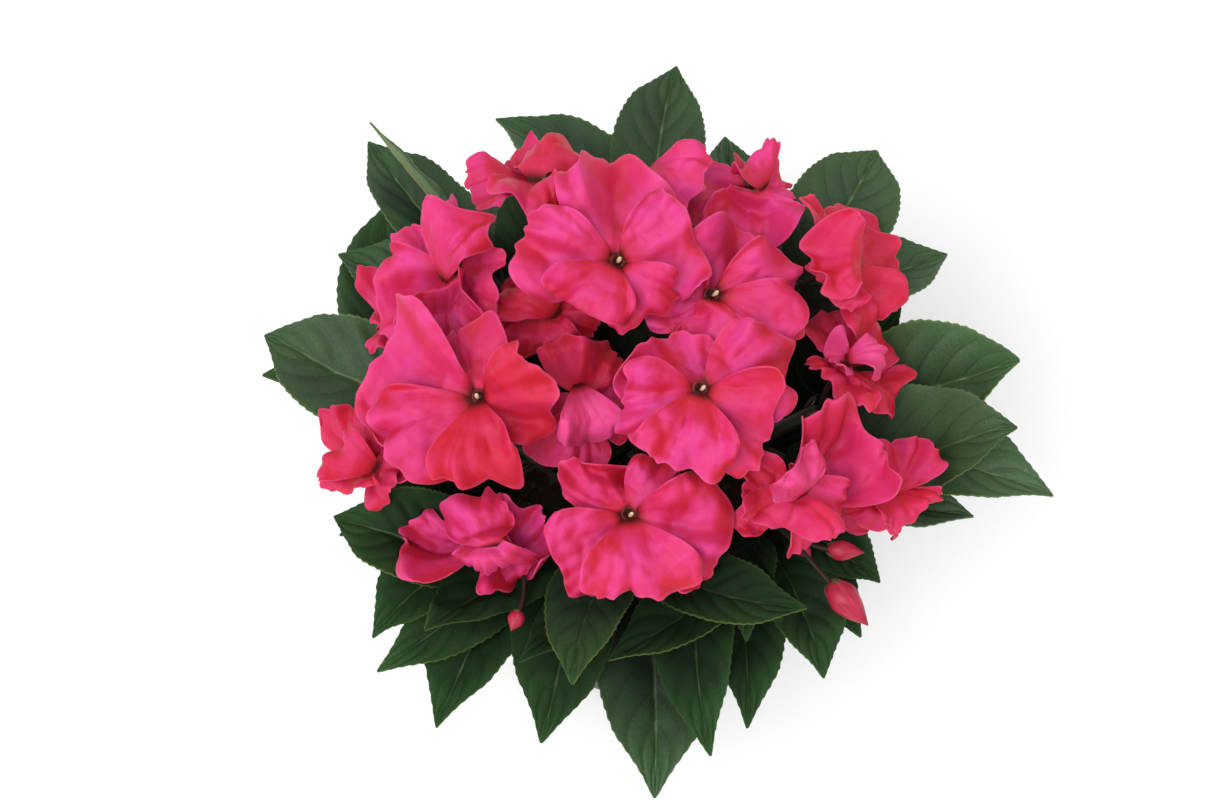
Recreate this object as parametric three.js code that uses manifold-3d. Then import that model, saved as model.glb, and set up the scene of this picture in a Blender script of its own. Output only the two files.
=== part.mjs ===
// A busy lizzie (New Guinea impatiens) in bloom, in a plain round nursery pot.
//
// Nine leafy stems rise from the potting soil. Each carries leaves at a lower node and a full whorl
// at its top, where the flower stalks start. Eighteen blooms of five broad, waved petals lie over
// the leaves like shingles on a dome, and four closed buds stand at the front.
//
// Millimetres, +Z up. The origin is on the floor, at the centre of the pot's foot. -Y is the front.
//
// Leaves and petals are thin blades. They are laid one under the other, the topmost first, and each
// blade is pressed down wherever it would touch one that already lies over it, as the real ones
// press on each other and bend.

import * as THREE from "three";
import { mergeVertices } from "three/addons/utils/BufferGeometryUtils.js";
import Module from "manifold-3d";

// ---------------------------------------------------------------- pot and soil

const POT_HEIGHT = 105;
const POT_RIM_RADIUS = 65;
const POT_FOOT_RADIUS = 47;
const POT_SIDES = 24;
const POT_FLOOR_TOP = 2.4;
const WALL_FOOT_RADIUS = 45.6; // inside of the wall at the floor
const WALL_SHOULDER_RADIUS = 58; // and at the shoulder under the rim
const WALL_SHOULDER_Z = 88.6;

// Outside up to the rim, over it and down the inside, as radius and height.
const POT_PROFILE = [
  [0, 0],
  [POT_FOOT_RADIUS, 0],
  [59.6, 88],
  [63.4, 88.8],
  [POT_RIM_RADIUS, 104],
  [64, POT_HEIGHT],
  [62.8, POT_HEIGHT],
  [60.4, 91.2],
  [WALL_SHOULDER_RADIUS, WALL_SHOULDER_Z],
  [WALL_FOOT_RADIUS, POT_FLOOR_TOP],
  [0, POT_FLOOR_TOP],
];

const DRAIN_HOLES = 6;
const DRAIN_HOLE_RADIUS = 4;
const DRAIN_CIRCLE = 30;

const SOIL_TOP = 92;
const SOIL_SHOULDER_Z = 87;
const SOIL_GAP = 0.4; // between the soil and the pot's wall, which are separate solids
const SOIL_BUMP = 1.6;

// ---------------------------------------------------------------- stems

const STEM_FOOT_Z = 62; // how deep the stems stand in the soil
const STEM_RADIUS = 2.9;
const STEM_SIDES = 6;
const HOLE_RADIUS = 3.7;
const TOP_NODE = 0.985; // where along a stem its top leaves sit
const LOWER_NODE = 0.66; // and its lower ones
const NODE_STEP = 0.03; // each further leaf at a node sits this much lower along the stem

// Name, foot on the plan, and top.
const STEMS = [
  ["front", [-2, -15], [-5, -45, 146]],
  ["front_right", [12, -12], [42, -36, 147]],
  ["right", [18, 2], [61, 6, 148]],
  ["back_right", [12, 14], [48, 46, 152]],
  ["back", [-3, 18], [4, 60, 154]],
  ["back_left", [-16, 10], [-45, 45, 152]],
  ["left", [-18, -3], [-62, 4, 148]],
  ["front_left", [-13, -13], [-46, -38, 145]],
  ["middle", [1, 1], [-6, 6, 166]],
];

// ---------------------------------------------------------------- leaves

const LEAF_THICKNESS = 0.7;
const LEAF_FOLD = THREE.MathUtils.degToRad(15); // each half stands this much up from flat
const LEAF_TOOTH = 0.04; // every other row is wider by this share, for the toothed edge
const LEAF_WAVE = 0.9;
const LEAF_ROWS = [0.02, 0.2, 0.4, 0.59, 0.77, 0.91, 1];
const PETIOLE_SHARE = 0.15; // of the leaf's whole length
const PETIOLE_RADIUS = 1.2;

// Stem, node (0 lower, 1 top), tip, greatest width, arch above the straight line, bow to the
// leaf's left, roll in degrees. The topmost come first.
const LEAVES = [
  ["back_left", 1, [-98, 106, 178], 15, 6, 1, 72],
  ["middle", 1, [-24, 46, 171], 27, 5, -2, 0],
  ["middle", 1, [34, 26, 170], 27, 5, 2, 0],
  ["back", 1, [12, 134, 170], 36, 8, 3, 0],
  ["middle", 1, [24, -28, 167], 27, 5, -2, 0],
  ["front", 1, [54, -74, 164], 28, 8, -9, -4],
  ["middle", 1, [-33, -24, 166], 26, 5, 2, 0],
  ["back_right", 1, [84, 103, 163], 41, 11, -4, 6],
  ["right", 1, [129, -6, 161], 36, 10, -6, 4],
  ["front", 1, [-25, -100, 160], 31, 8, -4, 8],
  ["right", 1, [132, 22, 157], 40, 11, 3, 6],
  ["back_left", 1, [-100, 110, 157], 35, 10, 5, 10],
  ["front", 1, [-75, -79, 156], 34, 11, -8, 0],
  ["front_right", 1, [34, -82, 153], 19, 7, -2, 10],
  ["front", 1, [-43, -89, 152], 21, 6, 3, 6],
  ["front_right", 1, [-13, -88, 151], 30, 10, 7, 10],
  ["back_right", 1, [109, 67, 151], 34, 9, -4, -6],
  ["back", 1, [-54, 123, 151], 35, 9, -6, 6],
  ["back_right", 1, [30, 116, 150], 33, 8, 3, 8],
  ["left", 1, [-135, 35, 150], 38, 12, 4, -12],
  ["back_left", 1, [-110, 68, 149], 33, 9, 4, 8],
  ["front_left", 1, [-108, -34, 148], 34, 10, -5, -10],
  ["right", 1, [92, 48, 147], 34, 7, 3, 0],
  ["back_left", 1, [-38, 104, 146], 32, 8, 0, 0],
  ["left", 1, [-84, 100, 145], 38, 10, 20, -14],
  ["front_right", 1, [81, -56, 142], 23, 8, 3, 4],
  ["right", 1, [143, -23, 141], 37, 12, 4, -6],
  ["front_left", 1, [-94, -75, 138], 30, 8, -4, 8],
  ["front_right", 1, [61, -89, 136], 32, 9, 3, -12],
  ["left", 0, [-137, 27, 134], 38, 10, -5, 14],
  ["right", 0, [116, -27, 132], 38, 10, -5, -8],
  ["front_right", 0, [22, -115, 130], 32, 11, -7, 12],
  ["front_right", 0, [75, -71, 128], 29, 8, 4, 0],
  ["front_left", 0, [-36, -109, 126], 34, 10, 5, 4],
  ["front_left", 0, [-93, -83, 126], 30, 9, 5, -12],
  ["front_left", 0, [-72, -103, 126], 38, 10, -5, 6],
  ["back", 0, [-30, 110, 126], 36, 10, 2, 0],
  ["left", 0, [-104, -8, 126], 32, 8, 4, 6],
  ["front_right", 0, [35, -103, 124], 30, 9, 4, -10],
  ["left", 0, [-108, -31, 124], 30, 9, 4, 10],
  ["back_left", 0, [-66, 36, 134], 34, 5, 0, 0],
  ["right", 0, [62, -34, 132], 32, 5, 0, 0],
  ["back_right", 0, [50, 104, 122], 36, 10, 0, 0],
  ["right", 0, [98, 48, 120], 36, 9, 4, 6],
  ["left", 0, [-104, 53, 120], 34, 9, -4, 0],
  ["back_right", 0, [84, 78, 119], 35, 10, 4, -5],
  ["back_left", 0, [-54, 112, 120], 38, 11, 4, 0],
  ["back", 0, [12, 114, 118], 35, 12, -2, 5],
  ["front", 0, [3, -126, 118], 45, 14, 3, 0],
  ["middle", 0, [35, -11, 130], 32, 5, 2, 0],
  ["middle", 0, [16, 34, 132], 32, 5, 2, 0],
  ["middle", 0, [-27, 28, 130], 36, 5, 2, 0],
  ["middle", 0, [-31, -15, 130], 32, 5, 2, 0],
  ["middle", 0, [12, -35, 130], 32, 5, 2, 0],
];

// ---------------------------------------------------------------- blooms

const PETAL_THICKNESS = 0.7;
const PETAL_ROWS = [0.06, 0.4, 0.75, 1];
const PETAL_STEP = [0, 0.8, 0.8, 1.6, 2.4]; // each petal's claw sits this high over the first one's
const HUB_TOP = 0.4;
const HUB_DEPTH = 7;
const HUB_TOP_RADIUS = 4;
const HUB_FOOT_RADIUS = 2.3;
const SPUR_RADIUS = 1.1;
const CAP_RADIUS = 1.6;

// Centre of the face; lean from straight up, and the compass turn it leans to (from +X towards
// +Y); the stem that carries it. Then the five petals, the lowest first: direction on the face,
// turning right from its up, length, width. The topmost bloom comes first.
const BLOOMS = [
  [[18, -12, 206], 25, 278, "middle",
    [[-32, 30, 39], [67, 36, 35], [-106, 29, 32], [124, 30, 36], [-166, 31, 37]]],
  [[-10, 31, 216], 22, 268, "back",
    [[5, 38, 41], [67, 35, 39], [-79, 38, 31], [134, 27, 37], [-152, 27, 40]]],
  [[23, 24, 205], 25, 300, "back_right",
    [[9, 36, 41], [67, 33, 35], [-73, 24, 28], [109, 37, 32], [-174, 24, 33]]],
  [[-58, -11, 197], 32, 232, "left",
    [[14, 29, 29], [-44, 39, 41], [115, 31, 39], [-98, 39, 35], [-157, 32, 39]]],
  [[-6, -49, 185], 28, 272, "front",
    [[-25, 28, 32], [48, 29, 35], [98, 37, 38], [-122, 33, 32], [172, 29, 42]]],
  [[50, -36, 184], 40, 310, "front_right",
    [[-14, 31, 33], [69, 27, 32], [-100, 26, 30], [127, 25, 31], [178, 25, 38]]],
  [[70, 42, 195], 32, 350, "back_right",
    [[-2, 23, 29], [81, 25, 29], [-99, 28, 29], [158, 22, 35], [-135, 24, 27]]],
  [[-67, 38, 197], 38, 195, "back_left",
    [[-22, 25, 36], [51, 26, 30], [-99, 29, 30], [113, 28, 29], [177, 25, 38]]],
  [[-37, 73, 202], 24, 110, "back_left",
    [[15, 23, 27], [-53, 23, 29], [100, 28, 34], [-106, 27, 30], [-176, 30, 24]]],
  [[2, 76, 205], 14, 95, "back",
    [[-24, 19, 29], [60, 20, 30], [135, 22, 24], [-104, 20, 28], [-169, 20, 24]]],
  [[38, 72, 198], 14, 55, "back_right",
    [[-38, 21, 28], [14, 19, 24], [-100, 19, 26], [75, 24, 27], [139, 20, 29]]],
  [[-22, -7, 186], 30, 285, "middle",
    [[4, 20, 28], [79, 19, 25], [-101, 19, 24], [139, 21, 26], [-178, 24, 29]]],
  [[-34, 28, 188], 24, 210, "back_left",
    [[4, 19, 27], [85, 18, 25], [-44, 22, 24], [-90, 20, 26], [-173, 19, 28]]],
  [[-54, -54, 177], 30, 245, "front_left",
    [[-12, 22, 28], [54, 23, 29], [-70, 27, 32], [135, 21, 27], [-176, 21, 29]]],
  [[71, 12, 180], 30, 20, "right",
    [[-2, 22, 38], [53, 29, 25], [-97, 23, 26], [138, 22, 33], [-138, 25, 28]]],
  [[-96, -23, 171], 32, 205, "left",
    [[-11, 22, 25], [62, 20, 25], [-57, 21, 25], [122, 21, 27], [-169, 20, 30]]],
  [[81, -27, 166], 32, 330, "right",
    [[-52, 20, 25], [11, 20, 30], [98, 20, 26], [-108, 18, 24], [-168, 19, 26]]],
  [[-90, 34, 175], 28, 170, "left",
    [[18, 19, 27], [-64, 21, 26], [91, 19, 25], [166, 22, 26], [-135, 24, 29]]],
];

// ---------------------------------------------------------------- buds and flower stalks

const STALK_RADIUS = 1.05;
const BUD_STALK_RADIUS = 0.9;
const STALK_AIR = 0.5; // room left round a stalk where it passes through another part's blade
const STALK_GAP = 0.3; // between a stalk's end and the bloom or bud it carries

// Foot of the bud, the way it points, length, greatest radius, and the stem that carries it.
const BUDS = [
  [[62, -60, 155], [0.6, -0.75, -0.25], 19, 6, "front_right"],
  [[58, -42, 156], [0.95, -0.2, 0.1], 13, 3.6, "front_right"],
  [[53, -46, 153], [0.5, -0.8, -0.1], 7, 2.4, "front_right"],
  [[-43, -73, 158], [-0.3, -0.8, 0.1], 8, 3, "front_left"],
];

// ---------------------------------------------------------------- solids

const SNAP = 0.05; // corners are moved to whole steps of this, so that cuts leave no slivers

const wasm = await Module();
wasm.setup();

const UP = new THREE.Vector3(0, 0, 1);
const degrees = THREE.MathUtils.degToRad;
const vec = (p) => new THREE.Vector3(p[0], p[1], p[2]);

// A repeatable draw from 0 to 1 for the number n.
function chance(n) {
  const s = Math.sin(n * 12.9898) * 43758.5453;
  return s - Math.floor(s);
}
const between = (n, low, high) => low + (high - low) * chance(n);
// 0 below low, 1 above high, straight between them.
const ramp = (x, low, high) => Math.min(1, Math.max(0, (x - low) / (high - low)));

// A closed geometry as a manifold solid with its faces pointing out.
function solidOf(geometry) {
  const g = geometry.clone();
  g.deleteAttribute("normal");
  g.deleteAttribute("uv");
  const merged = mergeVertices(g, 1e-4);
  const triVerts = new Uint32Array(merged.index.array);
  const corners = { numProp: 3, vertProperties: merged.attributes.position.array, triVerts };
  const made = new wasm.Manifold(new wasm.Mesh(corners));
  if (made.volume() > 0) return made;
  triVerts.reverse();
  return new wasm.Manifold(new wasm.Mesh(corners));
}

const snapped = (solid) =>
  mainPiece(
    solid
      .warp((p) => p.forEach((value, k) => (p[k] = Math.round(value / SNAP) * SNAP)))
      .simplify(SNAP),
  );

function geometryOf(solid) {
  const mesh = snapped(solid).getMesh();
  const positions = new Float32Array(mesh.numVert * 3);
  for (let i = 0; i < mesh.numVert; i++) {
    positions.set(mesh.vertProperties.subarray(i * mesh.numProp, i * mesh.numProp + 3), i * 3);
  }
  const g = new THREE.BufferGeometry();
  g.setAttribute("position", new THREE.BufferAttribute(positions, 3));
  g.setIndex(new THREE.BufferAttribute(new Uint32Array(mesh.triVerts), 1));
  g.computeVertexNormals();
  return g;
}

const joined = (solids) => solids.reduce((a, b) => a.add(b));

// The largest connected piece of a solid. Scraps that a cut leaves loose are dropped.
const mainPiece = (solid) =>
  solid.decompose().reduce((a, b) => (b.volume() > a.volume() ? b : a));

// A rod along a curve.
function rod(curve, radius, sides, steps) {
  const corners = Array.from({ length: sides }, (_, k) => {
    const turn = (2 * Math.PI * k) / sides;
    return new THREE.Vector2(radius * Math.cos(turn), radius * Math.sin(turn));
  });
  const section = new THREE.Shape(corners);
  return solidOf(new THREE.ExtrudeGeometry(section, { steps, extrudePath: curve }));
}

// A round solid turned from a profile of radius and height, standing on +Z.
const turnedSolid = (profile, sides) => {
  const outline = profile.map(([r, z]) => new THREE.Vector2(r, z));
  return new THREE.LatheGeometry(outline, sides).rotateX(Math.PI / 2);
};

// ---------------------------------------------------------------- blades laid under each other

const COVER_HALF = 175; // the map covers this much to each side of the plant's axis
const COVER_SIDE = 2 * COVER_HALF + 1; // one cell a millimetre
const OPEN_SKY = 1000;
const AIR = 1; // free height kept between two blades
const STEEPEST = 0.45; // the least upward part of a blade's normal that a clearance allows for
const SWEEP_STEP = 0.8;
const CARRY = 0.4; // a pressed point takes its neighbours this part of the way, in a soft curve
const ROOT_GIVE = 2; // the most that a blade's first row gives, which is its root

// For each square millimetre of the plan: the lowest blade so far, whose it is, and the lowest of
// any other owner.
const cover = {
  low: new Float32Array(COVER_SIDE * COVER_SIDE).fill(OPEN_SKY),
  owner: new Array(COVER_SIDE * COVER_SIDE).fill(""),
  other: new Float32Array(COVER_SIDE * COVER_SIDE).fill(OPEN_SKY),
};

const cellOf = (x, y) =>
  (Math.round(y) + COVER_HALF) * COVER_SIDE + Math.round(x) + COVER_HALF;

function mark(x, y, z, who) {
  const c = cellOf(x, y);
  if (cover.owner[c] === who) {
    cover.low[c] = Math.min(cover.low[c], z);
  } else if (z < cover.low[c]) {
    cover.other[c] = cover.low[c];
    cover.low[c] = z;
    cover.owner[c] = who;
  } else {
    cover.other[c] = Math.min(cover.other[c], z);
  }
}

// The lowest height of all blades, and of other owners' blades, within about 1 mm of a place.
function coverAt(x, y, who) {
  let all = OPEN_SKY;
  let others = OPEN_SKY;
  for (const dy of [-1, 0, 1]) {
    for (const dx of [-1, 0, 1]) {
      const c = cellOf(x + dx, y + dy);
      all = Math.min(all, cover.low[c]);
      others = Math.min(others, cover.owner[c] === who ? cover.other[c] : cover.low[c]);
    }
  }
  return { all, others };
}

const mixed = (grid, i, j, s, t) => {
  const near = grid[i][j].clone().lerp(grid[i][j + 1], t);
  const far = grid[i + 1][j].clone().lerp(grid[i + 1][j + 1], t);
  return near.lerp(far, s);
};

function upness(grid, i, j) {
  const a = grid[i + 1][j + 1].clone().sub(grid[i][j]);
  const b = grid[i][j + 1].clone().sub(grid[i + 1][j]);
  return Math.max(STEEPEST, Math.abs(a.cross(b).normalize().z));
}

// Calls visit(point, i, j, upness) all over a grid of points, less than a millimetre apart.
function sweep(grid, visit) {
  for (let i = 0; i < grid.length - 1; i++) {
    for (let j = 0; j < grid[0].length - 1; j++) {
      const long = Math.max(
        grid[i][j].distanceTo(grid[i + 1][j]),
        grid[i][j + 1].distanceTo(grid[i + 1][j + 1]),
      );
      const wide = Math.max(
        grid[i][j].distanceTo(grid[i][j + 1]),
        grid[i + 1][j].distanceTo(grid[i + 1][j + 1]),
      );
      const nLong = Math.max(1, Math.ceil(long / SWEEP_STEP));
      const nWide = Math.max(1, Math.ceil(wide / SWEEP_STEP));
      const flatness = upness(grid, i, j);
      for (let a = 0; a <= nLong; a++) {
        for (let b = 0; b <= nWide; b++) {
          visit(mixed(grid, i, j, a / nLong, b / nWide), i, j, flatness);
        }
      }
    }
  }
}

// Presses the points of a blade's grid down clear of all that lies over it, then adds it to the
// cover. ownShare and otherShare say for a point how far it keeps clear of blades of its own plant
// part and of others: 0 at its root, where it has to stay, to 1.
function lay(grid, thickness, who, ownShare, otherShare) {
  const need = grid.map((row) => row.map(() => 0));
  sweep(grid, (p, i, j, flatness) => {
    const { all, others } = coverAt(p.x, p.y, who);
    const top = p.z + (thickness / 2 + AIR) / flatness;
    const press = Math.max((top - all) * ownShare(p), (top - others) * otherShare(p));
    if (press <= 0) return;
    for (const [a, b] of [[i, j], [i, j + 1], [i + 1, j], [i + 1, j + 1]]) {
      need[a][b] = Math.max(need[a][b], press);
    }
  });
  const eased = need.map((row, i) =>
    row.map((press, j) => {
      if (i === 0) return Math.min(press, ROOT_GIVE);
      const around = [[i - 1, j], [i + 1, j], [i, j - 1], [i, j + 1]];
      const carried = around.map(([a, b]) => (need[a]?.[b] ?? 0) * CARRY);
      return Math.max(press, ...carried);
    }),
  );
  grid.forEach((row, i) => row.forEach((p, j) => (p.z -= eased[i][j])));
  sweep(grid, (p, i, j, flatness) => mark(p.x, p.y, p.z - thickness / 2 / flatness, who));
}

// A grid of points as a closed blade. thickness(i) is its thickness at row i. Both faces are split
// along the same diagonals.
function blade(grid, thickness) {
  const rows = grid.length;
  const columns = grid[0].length;
  const at = (i, j) =>
    grid[Math.min(rows - 1, Math.max(0, i))][Math.min(columns - 1, Math.max(0, j))];
  const positions = [];
  for (const side of [0.5, -0.5]) {
    for (let i = 0; i < rows; i++) {
      for (let j = 0; j < columns; j++) {
        const along = at(i + 1, j).clone().sub(at(i - 1, j));
        const over = at(i, j + 1).clone().sub(at(i, j - 1));
        const normal = along.cross(over).normalize();
        if (normal.z < 0) normal.negate();
        const p = grid[i][j].clone().addScaledVector(normal, side * thickness(i));
        positions.push(p.x, p.y, p.z);
      }
    }
  }
  const under = rows * columns;
  const index = [];
  for (let i = 0; i < rows - 1; i++) {
    for (let j = 0; j < columns - 1; j++) {
      const a = i * columns + j;
      const b = a + 1;
      const c = a + columns + 1;
      const d = a + columns;
      index.push(a, b, c, a, c, d);
      index.push(under + a, under + c, under + b, under + a, under + d, under + c);
    }
  }
  const edge = [];
  for (let j = 0; j < columns; j++) edge.push(j);
  for (let i = 1; i < rows; i++) edge.push(i * columns + columns - 1);
  for (let j = columns - 2; j >= 0; j--) edge.push((rows - 1) * columns + j);
  for (let i = rows - 2; i > 0; i--) edge.push(i * columns);
  edge.forEach((a, k) => {
    const b = edge[(k + 1) % edge.length];
    index.push(b, a, under + a, b, under + a, under + b);
  });
  const g = new THREE.BufferGeometry();
  g.setAttribute("position", new THREE.BufferAttribute(new Float32Array(positions), 3));
  g.setIndex(index);
  return solidOf(g);
}

// ---------------------------------------------------------------- pot and soil

function potSolid() {
  let pot = solidOf(turnedSolid(POT_PROFILE, POT_SIDES));
  for (let k = 0; k < DRAIN_HOLES; k++) {
    const turn = (2 * Math.PI * k) / DRAIN_HOLES;
    const hole = new THREE.CylinderGeometry(DRAIN_HOLE_RADIUS, DRAIN_HOLE_RADIUS, 20, 7)
      .rotateX(Math.PI / 2)
      .translate(DRAIN_CIRCLE * Math.cos(turn), DRAIN_CIRCLE * Math.sin(turn), 0);
    pot = pot.subtract(solidOf(hole));
  }
  return pot;
}

function soilSolid(stems) {
  const slope = (WALL_SHOULDER_RADIUS - WALL_FOOT_RADIUS) / (WALL_SHOULDER_Z - POT_FLOOR_TOP);
  const wall = (z) => WALL_FOOT_RADIUS + slope * (z - POT_FLOOR_TOP) - SOIL_GAP;
  const bottom = POT_FLOOR_TOP + SOIL_GAP;
  const profile = [
    [0, bottom],
    [wall(bottom), bottom],
    [wall(SOIL_SHOULDER_Z), SOIL_SHOULDER_Z],
    [wall(SOIL_SHOULDER_Z) - 4, SOIL_TOP - 1],
    [34, SOIL_TOP],
    [16, SOIL_TOP],
    [0, SOIL_TOP],
  ];
  const turned = turnedSolid(profile, POT_SIDES);
  turned.deleteAttribute("normal");
  turned.deleteAttribute("uv");
  const crumbs = mergeVertices(turned, 1e-3);
  const position = crumbs.getAttribute("position");
  for (let i = 0; i < position.count; i++) {
    const x = position.getX(i);
    const y = position.getY(i);
    if (position.getZ(i) < SOIL_TOP - 2) continue;
    const bump = Math.sin(0.31 * x + 1.7) * Math.sin(0.27 * y - 0.6) + Math.sin(0.13 * (x - y));
    position.setZ(i, position.getZ(i) + (SOIL_BUMP * bump) / 2);
  }
  return stems.reduce((soil, stem) => soil.subtract(stem.hole), solidOf(crumbs));
}

// ---------------------------------------------------------------- leafy stems

function stemCurve(name) {
  const [, foot, top] = STEMS.find(([other]) => other === name);
  const start = new THREE.Vector3(foot[0], foot[1], STEM_FOOT_Z);
  const bend = new THREE.Vector3(foot[0] * 1.25, foot[1] * 1.25, SOIL_TOP + 26);
  return new THREE.QuadraticBezierCurve3(start, bend, vec(top));
}

// The stem's own room in the soil: a wider rod along its lower half.
function holeSolid(curve) {
  const into = curve.getPoint(0);
  const out = curve.getPoint(0.5);
  const bend = curve.getPoint(0.25).multiplyScalar(2);
  bend.sub(into.clone().add(out).multiplyScalar(0.5));
  const below = into.clone().setZ(into.z - 0.5);
  return rod(new THREE.QuadraticBezierCurve3(below, bend, out), HOLE_RADIUS, STEM_SIDES, 3);
}

// Half the blade's width at a share u of its length, for a greatest width of 1.
function leafHalf(u) {
  const oval = Math.pow(Math.sin(Math.PI * Math.pow(Math.min(u, 1), 0.85)), 0.75);
  return 0.5 * oval * (1 - 0.38 * ramp(u, 0.76, 0.95));
}

function leafPlan([stemName, node, tip, width, arch, bow, roll], number) {
  const above = LEAVES.slice(0, number).filter(([name, at]) => name === stemName && at === node);
  const share = (node === 1 ? TOP_NODE : LOWER_NODE) - NODE_STEP * above.length;
  const seat = stemCurve(stemName).getPoint(share);
  const end = vec(tip);
  const out = end.clone().sub(seat).setZ(0).normalize();
  const side = new THREE.Vector3(-out.y, out.x, 0);
  seat.addScaledVector(out, 0.8);
  const middle = seat.clone().lerp(end, 0.45);
  middle.addScaledVector(UP, 2 * arch).addScaledVector(side, 2 * bow);
  const rib = new THREE.QuadraticBezierCurve3(seat, middle, end);
  return { stemName, seat, rib, side, width, roll: degrees(roll), number };
}

// A point of the blade: u from its foot to its tip, v from -1 to 1 across it.
function leafPoint(leaf, u, v, draw) {
  const t = PETIOLE_SHARE + (1 - PETIOLE_SHARE) * u;
  const along = leaf.rib.getTangent(t);
  const flatUp = new THREE.Vector3().crossVectors(along, leaf.side).normalize();
  const level = new THREE.Vector3().crossVectors(flatUp, along).normalize();
  const roll = leaf.roll * ramp(u, 0, 0.5);
  const side = level.clone().multiplyScalar(Math.cos(roll)).addScaledVector(flatUp, Math.sin(roll));
  const normal = flatUp.multiplyScalar(Math.cos(roll)).addScaledVector(level, -Math.sin(roll));
  const half = Math.max(0.35, leaf.width * leafHalf(u) * draw);
  const wave = LEAF_WAVE * Math.sin(7 * u + 6 * chance(leaf.number)) * Math.sin(Math.PI * u);
  return leaf.rib
    .getPoint(t)
    .addScaledVector(side, v * half * Math.cos(LEAF_FOLD))
    .addScaledVector(normal, Math.abs(v) * half * Math.sin(LEAF_FOLD) + v * wave);
}

// The leaf stalk and the blade in one sheet: the stalk's rows are narrow and thick.
function leafSolid(leaf) {
  const grid = LEAF_ROWS.map((u, i) => {
    const draw = i % 2 ? 1 + LEAF_TOOTH : 1 - LEAF_TOOTH;
    return [-1, 0, 1].map((v) => leafPoint(leaf, u, v, draw));
  });
  const fromSeat = (p) => Math.hypot(p.x - leaf.seat.x, p.y - leaf.seat.y);
  const ownShare = (p) => ramp(fromSeat(p), 7, 13);
  const otherShare = (p) => ramp(fromSeat(p), 4, 8);
  lay(grid, LEAF_THICKNESS, leaf.stemName, ownShare, otherShare);
  const atSeat = (v) => leaf.seat.clone().addScaledVector(leaf.side, v * PETIOLE_RADIUS);
  grid.unshift([-1, 0, 1].map(atSeat));
  const stalkThickness = [2, 1.4];
  return blade(grid, (i) => stalkThickness[i] ?? LEAF_THICKNESS);
}

// ---------------------------------------------------------------- blooms

function bloomFrame([centre, lean, turn]) {
  const tilt = degrees(lean);
  const heading = degrees(turn);
  const face = new THREE.Vector3(
    Math.sin(tilt) * Math.cos(heading),
    Math.sin(tilt) * Math.sin(heading),
    Math.cos(tilt),
  );
  const up = new THREE.Vector3(0, 1, 0).addScaledVector(face, -face.y).normalize();
  const right = new THREE.Vector3().crossVectors(up, face).normalize();
  return { centre: vec(centre), face, up, right };
}

// A point in the bloom's own frame: x to its right, y up its face, z out of it.
const placed = (frame, x, y, z) =>
  frame.centre
    .clone()
    .addScaledVector(frame.right, x)
    .addScaledVector(frame.up, y)
    .addScaledVector(frame.face, z);

// A geometry made round +Z at the origin, set on the bloom's face at height z.
function onFace(frame, geometry, z) {
  const turn = new THREE.Matrix4().makeBasis(frame.right, frame.up, frame.face);
  return solidOf(geometry.applyMatrix4(turn).translate(...placed(frame, 0, 0, z).toArray()));
}

// Height of a petal above the face: r from its claw to its rim, a from -1 to 1 across it.
function petalHeight(r, a, seed) {
  const throat = -3 * Math.pow(1 - r, 4);
  const crown = 3.2 * Math.sin(1.9 * r);
  const reflex = -between(seed, 4, 20) * Math.pow(Math.max(0, r - 0.5), 2);
  const twist = between(seed + 1, -3, 3) * a * Math.pow(r, 1.5);
  const cup = between(seed + 2, -2.5, 4) * a * a * Math.pow(r, 1.5);
  const ruffle = between(seed + 3, 1.4, 2.8) * r * r * Math.sin(4.1 * a + 6.3 * chance(seed + 4));
  return throat + crown + reflex + twist + cup + ruffle;
}

function petalPoint(frame, [turn, length, width], step, r, a, seed) {
  const wide = Math.pow(Math.sin((Math.PI / 2) * Math.min(1, r / 0.78)), 0.85);
  const past = Math.max(0, r - 0.78) / 0.22;
  const x = (width / 2) * wide * (1 - 0.3 * past * past) * a;
  const rounded = 0.32 * Math.pow(r, 3) * Math.pow(Math.abs(a), 2.2);
  const notch = 0.09 * Math.pow(r, 4) * Math.max(0, 1 - Math.abs(a) / 0.4);
  const y = length * (r - rounded - notch);
  const z = step + petalHeight(r, a, seed);
  const t = degrees(turn);
  return placed(frame, x * Math.cos(t) + y * Math.sin(t), y * Math.cos(t) - x * Math.sin(t), z);
}

// Lowers a whole bloom until its throat is clear of the blades over it.
function sinkHub(frame, name) {
  let sink = 0;
  for (let x = -4; x <= 4; x += 2) {
    for (let y = -4; y <= 4; y += 2) {
      const { others } = coverAt(frame.centre.x + x, frame.centre.y + y, name);
      sink = Math.max(sink, frame.centre.z + 5.5 - others);
    }
  }
  frame.centre.z -= sink;
}

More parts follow.
